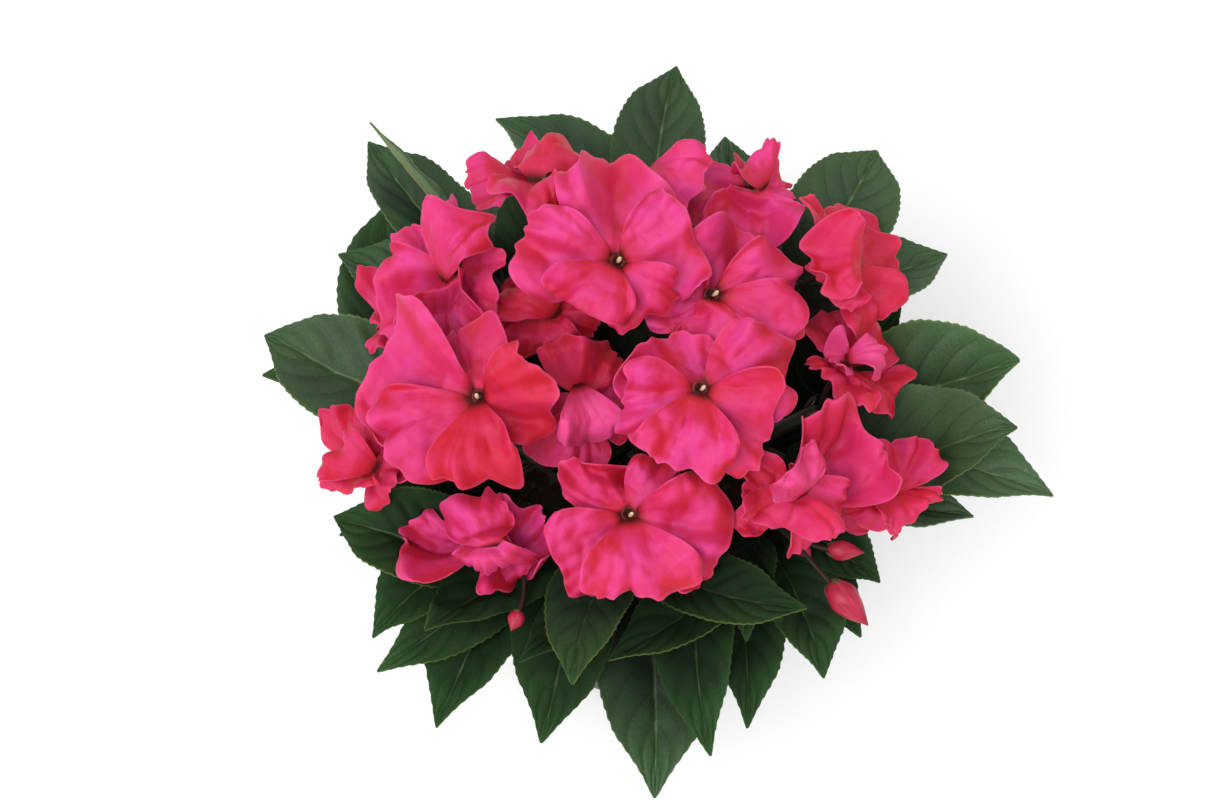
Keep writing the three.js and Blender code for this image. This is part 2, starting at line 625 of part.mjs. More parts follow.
function bloomParts(row, number) {
  const name = "bloom_" + String(number + 1).padStart(2, "0");
  const frame = bloomFrame(row);
  sinkHub(frame, name);
  const shareFrom = (low, high) => (p) => ramp(p.distanceTo(frame.centre), low, high);
  const petals = [4, 3, 2, 1, 0].map((k) => {
    const seed = 100 * (number + 1) + 17 * k;
    const point = (r, a) => petalPoint(frame, row[4][k], PETAL_STEP[k], r, a, seed);
    const grid = PETAL_ROWS.map((r) => [-1, 0, 1].map((a) => point(r, a)));
    lay(grid, PETAL_THICKNESS, name, shareFrom(3, 5), shareFrom(5, 6));
    return blade(grid, () => PETAL_THICKNESS);
  });
  const depth = HUB_TOP + HUB_DEPTH;
  const cone = new THREE.CylinderGeometry(HUB_TOP_RADIUS, HUB_FOOT_RADIUS, depth, 6);
  const spurCurve = new THREE.CatmullRomCurve3([
    placed(frame, 0, -1, -2.6),
    placed(frame, 0, -8, -5.4),
    placed(frame, 0, -15, -5.8),
    placed(frame, 0, -20, -3),
  ]);
  const hub = onFace(frame, cone.rotateX(Math.PI / 2), HUB_TOP - depth / 2);
  const cap = new THREE.SphereGeometry(CAP_RADIUS, 5, 2).rotateX(Math.PI / 2).scale(1, 1, 1.2);
  return {
    name,
    frame,
    stemName: row[3],
    flower: joined([...petals, hub, rod(spurCurve, SPUR_RADIUS, 3, 3)]),
    cap: onFace(frame, cap, HUB_TOP + STALK_GAP + 1.2 * CAP_RADIUS),
  };
}

// ---------------------------------------------------------------- buds and flower stalks

function budParts([foot, way, length, radius, stemName], number) {
  const along = vec(way).normalize();
  const profile = [[0, 0], [0.5, 0.04], [0.95, 0.25], [0.95, 0.45], [0.45, 0.78], [0, 1]];
  const teardrop = turnedSolid(profile.map(([r, z]) => [r * radius, z * length]), 6);
  teardrop.applyQuaternion(new THREE.Quaternion().setFromUnitVectors(UP, along));
  teardrop.translate(foot[0], foot[1], foot[2]);
  return { name: "bud_" + (number + 1), along, foot: vec(foot), length, radius, stemName, teardrop };
}

// The room that a bud takes up, added to the cover.
function coverBud({ name, along, foot, length, radius }) {
  for (let t = 0; t <= 1; t += 0.05) {
    const p = foot.clone().addScaledVector(along, length * t);
    for (let a = 0; a < 12; a++) {
      const turn = (2 * Math.PI * a) / 12;
      mark(p.x + radius * Math.cos(turn), p.y + radius * Math.sin(turn), p.z - radius, name);
    }
  }
}

// From inside the top of a stem to a point on what the stalk carries, arriving along way.
function stalkCurve(stemName, end, way) {
  const start = stemCurve(stemName).getPoint(1);
  const out = end.clone().sub(start).setZ(0).normalize();
  start.addScaledVector(out, 1.2).addScaledVector(UP, -2);
  const rise = 0.45 * start.distanceTo(end);
  return new THREE.CubicBezierCurve3(
    start,
    start.clone().addScaledVector(UP, rise),
    end.clone().addScaledVector(way, -rise * 0.8),
    end,
  );
}

function stalkParts(stemName, curve, radius) {
  return {
    stemName,
    solid: rod(curve, radius, 4, 3),
    room: rod(curve, radius + STALK_AIR, 4, 3),
  };
}

// ---------------------------------------------------------------- the plant, put together

// Blooms and buds are laid first, because they lie over the leaves.
const blooms = BLOOMS.map(bloomParts);
const buds = BUDS.map(budParts);
buds.forEach(coverBud);

const stems = STEMS.map(([name]) => {
  const curve = stemCurve(name);
  return { name, solid: rod(curve, STEM_RADIUS, STEM_SIDES, 4), hole: holeSolid(curve) };
});
LEAVES.forEach((row, number) => {
  const stem = stems.find(({ name }) => name === row[0]);
  stem.solid = stem.solid.add(leafSolid(leafPlan(row, number)));
});

const stalks = [
  ...blooms.map(({ frame, stemName }) => {
    const end = placed(frame, 0, 0.6, -HUB_DEPTH - STALK_GAP);
    return stalkParts(stemName, stalkCurve(stemName, end, frame.face), STALK_RADIUS);
  }),
  ...buds.map(({ foot, along, stemName }) => {
    const end = foot.clone().addScaledVector(along, -STALK_GAP);
    return stalkParts(stemName, stalkCurve(stemName, end, along), BUD_STALK_RADIUS);
  }),
];

const apart = (a, b) => {
  const p = a.boundingBox();
  const q = b.boundingBox();
  return [0, 1, 2].some((k) => p.min[k] > q.max[k] || q.min[k] > p.max[k]);
};

// A part, notched round the stalks of other stems that pass through it.
function clearOfStalks(solid, own) {
  const crossing = stalks.filter((stalk) => stalk.stemName !== own && !apart(solid, stalk.room));
  return mainPiece(crossing.reduce((left, stalk) => left.subtract(stalk.room), solid));
}

const plant = new THREE.Group();

function addPart(name, solid, color, roughness) {
  const material = new THREE.MeshStandardMaterial({ color, roughness, metalness: 0 });
  const mesh = new THREE.Mesh(geometryOf(solid), material);
  mesh.name = name;
  plant.add(mesh);
}

const POT_BLACK = 0x26282a;
const SOIL_BROWN = 0x2c211a;
const LEAF_GREEN = 0x24462c;
const PETAL_PINK = 0xec3b7c;
const CAP_CREAM = 0xe8dfc0;
const BUD_ROSE = 0xd92f5e;

addPart("pot", potSolid(), POT_BLACK, 0.55);
addPart("soil", soilSolid(stems), SOIL_BROWN, 0.95);
for (const { name, solid } of stems) {
  const own = stalks.filter(({ stemName }) => stemName === name).map((stalk) => stalk.solid);
  addPart("leafy_stem_" + name, joined([clearOfStalks(solid, name), ...own]), LEAF_GREEN, 0.5);
}
for (const { name, flower, cap } of blooms) {
  addPart(name, clearOfStalks(flower, name), PETAL_PINK, 0.6);
  addPart(name.replace("bloom", "pollen_cap"), cap, CAP_CREAM, 0.5);
}
for (const { name, teardrop } of buds) {
  addPart(name, solidOf(teardrop), BUD_ROSE, 0.55);
}

export default plant;
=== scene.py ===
"""A busy lizzie (New Guinea impatiens) in bloom, in a plain round nursery pot.

Lengths in the plans are millimetres, and MM turns them into metres where a mesh is made.
-Y is the front, and the origin is on the floor, under the centre of the pot.
"""

import math
import random

import bpy
import numpy as np
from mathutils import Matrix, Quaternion, Vector, noise


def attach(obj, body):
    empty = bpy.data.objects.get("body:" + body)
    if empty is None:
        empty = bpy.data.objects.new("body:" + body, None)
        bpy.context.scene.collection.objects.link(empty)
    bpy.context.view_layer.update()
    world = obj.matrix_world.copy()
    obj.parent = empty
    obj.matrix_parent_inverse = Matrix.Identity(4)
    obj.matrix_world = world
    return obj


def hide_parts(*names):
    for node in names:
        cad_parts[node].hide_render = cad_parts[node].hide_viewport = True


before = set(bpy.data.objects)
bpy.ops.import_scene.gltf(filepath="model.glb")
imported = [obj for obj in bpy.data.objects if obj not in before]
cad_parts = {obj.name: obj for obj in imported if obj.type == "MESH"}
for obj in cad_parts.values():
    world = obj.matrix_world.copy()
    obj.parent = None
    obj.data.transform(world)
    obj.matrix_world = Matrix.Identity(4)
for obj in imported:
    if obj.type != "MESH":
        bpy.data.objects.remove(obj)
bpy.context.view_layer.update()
bpy.ops.object.select_all(action="DESELECT")
MM = 0.001

# ---------------------------------------------------------------- camera
# It looks down on the dome of flowers from the front, 65 degrees above the horizon, from far
# enough away that the plant is seen almost without perspective.

CAMERA_TARGET = Vector((-14.9, 8.0, 153.7)) * MM
CAMERA_ELEVATION = math.radians(65)
CAMERA_DISTANCE = 1.1
CAMERA_LENS = 93.6

toward_camera = Vector((0, -math.cos(CAMERA_ELEVATION), math.sin(CAMERA_ELEVATION)))
bpy.ops.object.camera_add(
    location=CAMERA_TARGET + CAMERA_DISTANCE * toward_camera,
    rotation=(math.pi / 2 - CAMERA_ELEVATION, 0, 0),
)
camera = bpy.context.object
camera.data.lens = CAMERA_LENS
camera.data.clip_start = 0.01
bpy.context.scene.camera = camera

# ---------------------------------------------------------------- floor and studio light
# A pale matt floor under a bright, even studio: one wide lamp high at the front left, a weaker
# one at the right, one behind, and a soft glow from all round.

FLOOR_SIDE = 12.0
FLOOR_WHITE = (0.93, 0.93, 0.93, 1)
FLOOR_GLOW = 0.1
STUDIO_GLOW = 0.58
LAMP_AIM = Vector((0, 0, 0.17))  # the flowers
# Place, size across and power of each lamp.
LAMPS = [
    ((-1.6, -1.9, 3.3), 3.4, 148),
    ((2.8, -1.2, 2.8), 2.6, 24),
    ((0.6, 3.0, 3.0), 3.0, 34),
]


def feed(tree, made, **inputs):
    """Gives a node its inputs: sockets to join, or values. _2 as a name is the third socket."""
    for key, value in inputs.items():
        socket = made.inputs[int(key[1:]) if key[0] == "_" else key.replace("_", " ")]
        if isinstance(value, bpy.types.NodeSocket):
            tree.links.new(value, socket)
        else:
            socket.default_value = value
    return made


def finish_of(name, roughness, specular=0.5, **look):
    """A new material, its node tree and its shader, with what is the same all over it."""
    material = bpy.data.materials.new(name)
    material.use_nodes = True
    tree = material.node_tree
    shader = tree.nodes["Principled BSDF"]
    feed(tree, shader, Roughness=roughness, Specular_IOR_Level=specular, **look)
    return material, tree, shader


bpy.ops.mesh.primitive_plane_add(size=FLOOR_SIDE)
floor = bpy.context.object
floor.name = "floor"
paper, _, _ = finish_of(
    "studio_floor", 0.9, 0.1,
    Base_Color=FLOOR_WHITE, Emission_Color=FLOOR_WHITE, Emission_Strength=FLOOR_GLOW,
)
floor.data.materials.append(paper)

for place, across, power in LAMPS:
    aim = (LAMP_AIM - Vector(place)).to_track_quat("-Z", "Y")
    bpy.ops.object.light_add(type="AREA", location=place, rotation=aim.to_euler())
    lamp = bpy.context.object.data
    lamp.size = across
    lamp.energy = power

world = bpy.data.worlds.new("studio")
bpy.context.scene.world = world
world.use_nodes = True
background = world.node_tree.nodes["Background"]
feed(world.node_tree, background, Color=(1, 1, 1, 1), Strength=STUDIO_GLOW)
bpy.context.scene.view_settings.view_transform = "Standard"

# ---------------------------------------------------------------- pot
# A thin-walled nursery pot, moulded in black polypropylene: a flat foot with six drain holes,
# a tapering wall and a stiff turned-out rim. Handling leaves it dusty.

POT_SIDES = 96
FOOT_RADIUS = 47
# Up the outside from the foot, over the rim and down the inside, as radius and height.
POT_PROFILE = [
    (47.6, 0.8), (48.2, 4), (50.3, 20), (52.8, 40), (56.5, 68), (59.2, 87.2), (59.8, 88.3),
    (62.9, 88.7), (63.5, 89.3), (64.4, 97), (65, 103.4), (64.9, 104.4), (64.2, 105),
    (63.2, 105), (62.6, 104.4), (60.5, 91.4), (58.2, 88.9), (52, 46), (45.8, 2.6),
]
DRAIN_HOLES = 6
DRAIN_HOLE_RADIUS = 4
DRAIN_CIRCLE = 30
DRILL_SIDES = 20
DRILL_LENGTH = 20
POT_BLACK, POT_WORN = (0.012, 0.0125, 0.013, 1), (0.022, 0.0225, 0.023, 1)
POT_DUST = (0.15, 0.12, 0.09, 1)
DUST_TOP = 0.03  # metres up the wall that the dust of the bench reaches


def node(tree, kind, settings=None, **inputs):
    """A new shader node of a kind, with its settings and inputs."""
    made = tree.nodes.new("ShaderNode" + kind)
    for key, value in (settings or {}).items():
        setattr(made, key, value)
    return feed(tree, made, **inputs)


def mixed(tree, factor, first, second):
    """The colour between first and second by factor."""
    mix = node(tree, "Mix", {"data_type": "RGBA"}, _0=factor, _6=first, _7=second)
    return mix.outputs[2]


def maths(tree, operation, *values):
    """One sum on up to three values or sockets."""
    inputs = {f"_{k}": value for k, value in enumerate(values)}
    return node(tree, "Math", {"operation": operation}, **inputs).outputs[0]


def spread_of(tree, value, low, high, to_low=0.0, to_high=1.0):
    """A value from low to high, carried over to the range to_low to to_high and held there."""
    ends = {"_1": low, "_2": high, "_3": to_low, "_4": to_high}
    return node(tree, "MapRange", {"clamp": True}, _0=value, **ends).outputs[0]


def tinted(tree, colour, *layers):
    """A colour under layers: a mask, its values at none and at full, the strength, the tint."""
    for mask, none, full, strength, tint in layers:
        colour = mixed(tree, spread_of(tree, mask, none, full, 0.0, strength), colour, tint)
    return colour


def place_in(tree):
    """The place of a point in its object, in metres."""
    return node(tree, "TexCoord").outputs["Object"]


def height_in(tree):
    return node(tree, "SeparateXYZ", _0=place_in(tree)).outputs[2]


def new_group(name, inputs, outputs, vectors=()):
    """An empty node group with inputs by name and default, and named number and vector outputs."""
    group = bpy.data.node_groups.new(name, "ShaderNodeTree")
    sockets = group.interface
    for title, default in inputs.items():
        socket = sockets.new_socket(name=title, in_out="INPUT", socket_type="NodeSocketFloat")
        socket.default_value = default
    for titles, kind in ((outputs, "NodeSocketFloat"), (vectors, "NodeSocketVector")):
        for title in titles:
            sockets.new_socket(name=title, in_out="OUTPUT", socket_type=kind)
    return group, group.nodes.new("NodeGroupInput"), group.nodes.new("NodeGroupOutput")


# The fine unevenness of a real surface: patches of one size and grain of another, as a mask for
# colour and as a normal.
grain, grain_in, grain_out = new_group(
    "surface_grain", {"Patch Scale": 60.0, "Grain Scale": 900.0, "Depth": 0.2},
    ["Patches", "Grain"], ["Normal"],
)
place = place_in(grain)
patches = node(grain, "TexNoise", Vector=place, Scale=grain_in.outputs[0], Detail=4.0)
grains = node(grain, "TexNoise", Vector=place, Scale=grain_in.outputs[1], Detail=3.0)
depth = grain_in.outputs[2]
relief = node(grain, "Bump", Strength=depth, Distance=0.0004, Height=grains.outputs[0])
patches = spread_of(grain, patches.outputs[0], 0.35, 0.65)
feed(grain, grain_out, _0=patches, _1=grains.outputs[0], _2=relief.outputs[0])


def grained(tree, patch_scale, grain_scale, depth):
    """The surface grain as a node of a material, with its own values."""
    values = {"Patch_Scale": patch_scale, "Grain_Scale": grain_scale, "Depth": depth}
    return node(tree, "Group", {"node_tree": grain}, **values)


polypropylene, tree, shader = finish_of("black_polypropylene", 0.5)
worn = grained(tree, 45.0, 1500.0, 0.22)
low_down = spread_of(tree, height_in(tree), DUST_TOP, 0.0)
dust = maths(tree, "MULTIPLY", worn.outputs["Patches"], maths(tree, "ADD", low_down, 0.1))
black = mixed(tree, worn.outputs["Patches"], POT_BLACK, POT_WORN)
feed(
    tree, shader, Base_Color=mixed(tree, dust, black, POT_DUST),
    Roughness=spread_of(tree, dust, 0, 0.6, 0.42, 0.8), Normal=worn.outputs["Normal"],
)


def turned_up(profile, radius, height):
    """Extrudes the selected ring, of this radius and height, through a profile of further ones."""
    for next_radius, next_height in profile:
        rise = (0, 0, (next_height - height) * MM)
        bpy.ops.mesh.extrude_region_move(TRANSFORM_OT_translate={"value": rise})
        wider = next_radius / radius
        bpy.ops.transform.resize(value=(wider, wider, 1), center_override=(0, 0, next_height * MM))
        radius, height = next_radius, next_height


bpy.ops.mesh.primitive_circle_add(vertices=POT_SIDES, radius=FOOT_RADIUS * MM, fill_type="NGON")
pot = bpy.context.object
pot.name = "nursery_pot"
bpy.ops.object.mode_set(mode="EDIT")
bpy.ops.mesh.select_all(action="SELECT")
turned_up(POT_PROFILE, FOOT_RADIUS, 0)
bpy.ops.mesh.select_all(action="SELECT")
bpy.ops.mesh.normals_make_consistent(inside=False)
bpy.ops.object.mode_set(mode="OBJECT")

for k in range(DRAIN_HOLES):
    turn = 2 * math.pi * k / DRAIN_HOLES
    spot = (DRAIN_CIRCLE * MM * math.cos(turn), DRAIN_CIRCLE * MM * math.sin(turn), 0)
    bpy.ops.mesh.primitive_cylinder_add(
        vertices=DRILL_SIDES, radius=DRAIN_HOLE_RADIUS * MM, depth=DRILL_LENGTH * MM, location=spot
    )
    drill = bpy.context.object
    bpy.context.view_layer.objects.active = pot
    hole = pot.modifiers.new("drain hole", "BOOLEAN")
    hole.object = drill
    bpy.ops.object.modifier_apply(modifier=hole.name)
    bpy.data.objects.remove(drill)
pot.select_set(True)
bpy.ops.object.shade_smooth_by_angle(angle=math.radians(40))
pot.data.materials.append(polypropylene)
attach(pot, "root")
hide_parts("pot")

# ---------------------------------------------------------------- potting soil
# Dark peat that fills the pot to a finger's breadth under the rim. Its top is crumbly, with
# bark chips and a few white grains of perlite.

SOIL_TOP = 92
SOIL_WALL = 57.9  # radius where the top meets the pot's wall
SOIL_CELLS = 110
SOIL_SHOULDER = 4  # how far the soil's side goes straight down before it tapers
SOIL_FOOT = (45.1, 2.8)
BARK_CHIPS = 240
PERLITE_GRAINS = 24
BITS_WITHIN = 55  # radius that they are strewn over
DAMP_PEAT, DARK_PEAT = (0.010, 0.006, 0.0035, 1), (0.034, 0.02, 0.012, 1)
DRY_CRUMB = (0.06, 0.037, 0.022, 1)


def mottled(name, roughness, specular, grain_values, dark, light):
    """A grainy finish, mottled from dark to light."""
    material, tree, shader = finish_of(name, roughness, specular)
    skin = grained(tree, *grain_values)
    colour = mixed(tree, skin.outputs["Patches"], dark, light)
    feed(tree, shader, Base_Color=colour, Normal=skin.outputs["Normal"])
    return material


peat, tree, shader = finish_of("peat", 0.95, 0.15)
crumb = grained(tree, 160.0, 900.0, 0.9)
damp = mixed(tree, crumb.outputs["Patches"], DAMP_PEAT, DARK_PEAT)
colour = mixed(tree, crumb.outputs["Grain"], damp, DRY_CRUMB)
feed(tree, shader, Base_Color=colour, Normal=crumb.outputs["Normal"])

bark = mottled(
    "bark", 0.85, 0.2, (300.0, 1800.0, 0.7), (0.03, 0.013, 0.006, 1), (0.12, 0.055, 0.025, 1)
)
perlite = mottled(
    "perlite", 0.9, 0.2, (500.0, 2500.0, 0.8), (0.2, 0.18, 0.15, 1), (0.42, 0.4, 0.36, 1)
)


def soil_height(x, y):
    """The height of the top at a place on the plan: swells, lumps and crumbs, lower at the wall."""
    swell = math.sin(0.31 * x + 1.7) * math.sin(0.27 * y - 0.6) + math.sin(0.13 * (x - y))
    lumps = noise.fractal(Vector((x * 0.16, y * 0.16, 3.1)), 1.0, 2.0, 4)
    crumbs = noise.noise(Vector((x * 0.75, y * 0.75, 8.4)))
    edge = max(0, math.hypot(x, y) - 48) / 10
    return SOIL_TOP + 0.7 * swell + 1.1 * lumps + 0.5 * crumbs - 3.6 * edge * edge


bpy.ops.mesh.primitive_grid_add(x_subdivisions=SOIL_CELLS, y_subdivisions=SOIL_CELLS, size=2)
soil = bpy.context.object
soil.name = "potting_soil"
for vertex in soil.data.vertices:
    # The square grid is drawn round, so that its edge follows the pot's wall.
    across, along = vertex.co.x, vertex.co.y
    x = SOIL_WALL * across * math.sqrt(1 - along * along / 2)
    y = SOIL_WALL * along * math.sqrt(1 - across * across / 2)
    vertex.co = Vector((x, y, soil_height(x, y))) * MM
bpy.ops.object.mode_set(mode="EDIT")
bpy.ops.mesh.select_all(action="SELECT")
bpy.ops.mesh.region_to_loop()
bpy.ops.mesh.extrude_region_move(TRANSFORM_OT_translate={"value": (0, 0, -SOIL_SHOULDER * MM)})
bpy.ops.mesh.extrude_region_move()
narrower = SOIL_FOOT[0] / SOIL_WALL
bpy.ops.transform.resize(value=(narrower, narrower, 0), center_override=(0, 0, SOIL_FOOT[1] * MM))
bpy.ops.mesh.edge_face_add()
bpy.ops.mesh.select_all(action="SELECT")
bpy.ops.mesh.normals_make_consistent(inside=False)
bpy.ops.object.mode_set(mode="OBJECT")
soil.data.materials.append(peat)

bits = []
draw = random.Random(11)
for k in range(BARK_CHIPS + PERLITE_GRAINS):
    far, turn = BITS_WITHIN * math.sqrt(draw.random()), 2 * math.pi * draw.random()
    x, y = far * math.cos(turn), far * math.sin(turn)
    is_bark = k < BARK_CHIPS
    size = draw.uniform(0.8, 2.2) if is_bark else draw.uniform(0.6, 1.3)
    bpy.ops.mesh.primitive_ico_sphere_add(subdivisions=1, radius=size * MM)
    bit = bpy.context.object
    stretch = (1.5, 0.8, 0.35) if is_bark else (1, 0.9, 0.8)
    lie = Quaternion((draw.gauss(0, 0.25), draw.gauss(0, 0.25), 1), 6.3 * draw.random())
    middle = Vector((x, y, soil_height(x, y) + 0.2 * size)) * MM
    for vertex in bit.data.vertices:
        shaped = Vector(a * b * draw.uniform(0.8, 1.15) for a, b in zip(vertex.co, stretch))
        vertex.co = middle + lie @ shaped
    bit.data.materials.append(bark if is_bark else perlite)
    bits.append(bit)


def joined(name, parts):
    """One object of several, under a new name, with its place in its mesh."""
    bpy.ops.object.select_all(action="DESELECT")
    for part in parts:
        part.select_set(True)
    bpy.context.view_layer.objects.active = parts[0]
    bpy.ops.object.join()
    parts[0].name = name
    return parts[0]


soil = joined("potting_soil", [soil, *bits])
bpy.ops.object.shade_smooth_by_angle(angle=math.radians(35))
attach(soil, "root")
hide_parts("soil")

# ---------------------------------------------------------------- blooms
# Flat five-petalled flowers, 40 to 75 mm across. The petals are soft, broad and heart-shaped,
# waved at the rim, and meet in a small dark throat; behind it hangs a thin curved spur. Every
# bloom lies on those under it like a shingle, and presses them down.

PETAL_THICKNESS = 0.5
PETAL_STEP = (0, 0.8, 0.8, 1.6, 2.4)  # how high each petal starts over the lowest
PETAL_CELLS = (38, 40)
PLAIN_PETAL_ROWS = (0.06, 0.4, 0.75, 1)
LONG_PETAL = 30  # a longer one is waved more and crimped less
CLAW = 1.6  # distance from the middle at which a petal starts, round the open throat
THROAT_SPOTS = np.arange(-4, 5, 2)  # where the room over a throat is measured, each way
THROAT_ROOM = 5.5
OPEN_THROATS = 5  # this many of the topmost blooms show their throats
HIDDEN_THROAT_DROP = 2.7  # how much deeper the throat of the others lies
KEY_WAY = np.array([-0.41, -0.46, 0.79])  # toward the main lamp
# From the mouth of the throat down inside and up again outside, as radius and height.
CUP_PROFILE = (
    (2.1, -4.0), (1.6, -4.8), (0.8, -6.4), (1.6, -7.6), (2.4, -6.2), (2.8, -4.6), (2.6, -4.1),
)
CUP_SIDES = 20
SPUR_BEND = ((-2, -6.2), (-5, -7.6), (-9, -7.6), (-12, -6.4))  # down the face, and behind it
SPUR_RADII = (1.9, 1.2, 0.8, 0.75)
SPUR_ROOM = 1.5

# Centre of the face; lean from straight up, and the compass turn it leans to; the stem that
# carries it. Then the five petals, the lowest first: direction on the face, turning right from
# its up, length, width. The topmost bloom comes first.
BLOOMS = [
    ((18, -12, 206), 25, 278, "middle",
     ((-32, 30, 40), (62, 36, 36), (-104, 29, 33), (112, 29, 33), (-168, 31, 34))),
    ((-10, 31, 216), 22, 268, "back",
     ((4, 42, 44), (62, 32, 34), (-77, 37, 29), (142, 23, 28), (-150, 24, 33))),
    ((23, 24, 205), 25, 300, "back_right",
     ((9, 36, 41), (67, 33, 35), (-73, 24, 28), (109, 37, 32), (-174, 24, 33))),
    ((-58, -11, 197), 32, 232, "left",
     ((8, 30, 26), (-58, 42, 46), (98, 31, 34), (-117, 38, 37), (176, 33, 28))),
    ((-6, -49, 185), 28, 272, "front",
     ((-30, 33, 32), (46, 26, 30), (92, 35, 37), (-122, 33, 32), (172, 29, 42))),
    ((50, -36, 184), 40, 310, "front_right",
     ((24, 37, 44), (-98, 24, 30), (118, 20, 31), (-176, 19, 36), (-42, 27, 28))),
    ((70, 42, 195), 32, 350, "back_right",
     ((-4, 28, 36), (68, 25, 31), (138, 22, 30), (-135, 16, 24), (-88, 31, 30))),
    ((-67, 38, 197), 38, 195, "back_left",
     ((-26, 27, 36), (-96, 30, 32), (113, 27, 29), (177, 25, 38), (44, 32, 25))),
    ((-37, 73, 202), 24, 110, "back_left",
     ((-53, 23, 29), (100, 28, 34), (-106, 27, 30), (-176, 30, 24), (15, 26, 27))),
    ((2, 69, 203), 14, 95, "back",
     ((-24, 10, 22), (76, 19, 20), (-104, 18, 20), (-169, 20, 26), (124, 27, 24))),
    ((38, 72, 198), 14, 55, "back_right",
     ((22, 12, 22), (-101, 31, 34), (72, 12, 23), (-176, 28, 34), (-44, 12, 24))),
    ((-22, -7, 186), 30, 285, "middle",
     ((79, 19, 25), (-101, 21, 24), (-170, 24, 30), (4, 22, 30), (163, 24, 22))),
    ((-34, 28, 188), 24, 210, "back_left",
     ((4, 19, 27), (85, 18, 25), (-90, 20, 26), (-173, 19, 28), (-44, 22, 24))),
    ((-54, -51, 177), 30, 245, "front_left",
     ((52, 26, 30), (-74, 33, 36), (132, 16, 26), (-172, 15, 28), (-14, 28, 28))),
    ((71, 12, 180), 30, 20, "right",
     ((128, 23, 32), (-142, 18, 28), (2, 26, 42), (-98, 14, 16), (92, 14, 17))),
    ((-96, -23, 171), 32, 205, "left",
     ((0, 28, 29), (62, 22, 27), (122, 16, 27), (-169, 12, 24), (-50, 17, 22))),
    ((81, -27, 166), 32, 330, "right",
     ((98, 13, 26), (-108, 18, 24), (-168, 17, 26), (145, 17, 27), (-6, 28, 34))),
    ((-86, 34, 175), 28, 170, "left",
     ((-64, 9, 16), (91, 24, 30), (166, 16, 26), (-135, 9, 18), (18, 22, 28))),
]


def chance(n):
    """A repeatable draw from 0 to 1 for the number n."""
    s = math.sin(n * 12.9898) * 43758.5453
    return s - math.floor(s)


def phase(n):
    """A repeatable draw of where a wave starts."""
    return 6.3 * chance(n)


def between(n, low, high):
    return low + (high - low) * chance(n)


def ramp(x, low, high):
    """0 below low, 1 above high, straight between them."""
    return np.clip((x - low) / (high - low), 0, 1)


# A cover holds, for each square of the plan, the lowest blade so far, whose it is, and the
# lowest of any other owner. The broad one places the blades, and the fine one parts their waves.
COVER_HALF = 175
OPEN_SKY = 1000.0
STEEPEST = 0.45  # the least upward part of a blade's normal that a clearance allows for
BROAD_CELL, BROAD_STEP, BROAD_AIR = 1.0, 0.8, 1.0
FINE_CELL, FINE_STEP, FINE_AIR = 0.5, 0.5, 0.25
PLAIN_THICKNESS = 0.7
CARRY = 0.4  # the share of a press that the next points of a plain form take over
ROOT_GIVE = 2.0  # the most that the first row of a plain form gives
FALL = 0.42  # how steeply a fine sheet may go down to a press
FALL_ROUNDS = 14
ROOT_ROWS = 4  # rows over which a fine sheet starts to give
PLAIN_BLURS, FINE_BLURS = 8, 3


def new_cover(cell):
    side = 2 * round(COVER_HALF / cell) + 1
    return {
        "cell": cell,
        "side": side,
        "low": np.full(side * side, OPEN_SKY),
        "owner": np.full(side * side, -1),
        "other": np.full(side * side, OPEN_SKY),
    }


def cells_at(cover, x, y):
    cell, side = cover["cell"], cover["side"]
    column = np.clip(np.floor(x / cell + 0.5).astype(int) + side // 2, 1, side - 2)
    row = np.clip(np.floor(y / cell + 0.5).astype(int) + side // 2, 1, side - 2)
    return row * side + column


def cover_at(cover, x, y, who):
    """The lowest height of all blades and of other owners' blades, at a place and next to it."""
    cells = cells_at(cover, x, y)
    everyone = np.full(np.shape(cells), OPEN_SKY)
    others = np.full(np.shape(cells), OPEN_SKY)
    for up in (-1, 0, 1):
        for right in (-1, 0, 1):
            near = cells + up * cover["side"] + right
            low = cover["low"][near]
            everyone = np.minimum(everyone, low)
            not_own = np.where(cover["owner"][near] == who, cover["other"][near], low)
            others = np.minimum(others, not_own)
    return everyone, others


def mark(cover, x, y, z, who):
    """Adds points of one owner to the cover."""
    cells, which = np.unique(cells_at(cover, x, y).ravel(), return_inverse=True)
    lowest = np.full(len(cells), OPEN_SKY)
    np.minimum.at(lowest, which.ravel(), z.ravel())
    low, owner, other = (cover[key][cells] for key in ("low", "owner", "other"))
    own = owner == who
    under = ~own & (lowest < low)
    cover["other"][cells] = np.where(own, other, np.where(under, low, np.minimum(other, lowest)))
    cover["low"][cells] = np.minimum(low, lowest)
    cover["owner"][cells] = np.where(under, who, owner)


def swept(sheet, step):
    """The points all over a grid of points, closer than step, and how upright each cell is."""
    longest = max(
        np.linalg.norm(np.diff(sheet, axis=0), axis=2).max(),
        np.linalg.norm(np.diff(sheet, axis=1), axis=2).max(),
    )
    parts = max(1, math.ceil(longest / step))
    share = np.arange(parts + 1) / parts
    row = np.repeat(np.arange(sheet.shape[0] - 1), parts + 1)
    column = np.repeat(np.arange(sheet.shape[1] - 1), parts + 1)
    down = np.tile(share, sheet.shape[0] - 1)[:, None, None]
    over = np.tile(share, sheet.shape[1] - 1)[None, :, None]
    near = sheet[row][:, column] * (1 - over) + sheet[row][:, column + 1] * over
    far = sheet[row + 1][:, column] * (1 - over) + sheet[row + 1][:, column + 1] * over
    normal = np.cross(sheet[1:, 1:] - sheet[:-1, :-1], sheet[:-1, 1:] - sheet[1:, :-1])
    upright = np.abs(normal[..., 2]) / np.maximum(np.linalg.norm(normal, axis=2), 1e-9)
    flatness = np.maximum(STEEPEST, upright)[row][:, column]
    return near * (1 - down) + far * down, flatness, parts


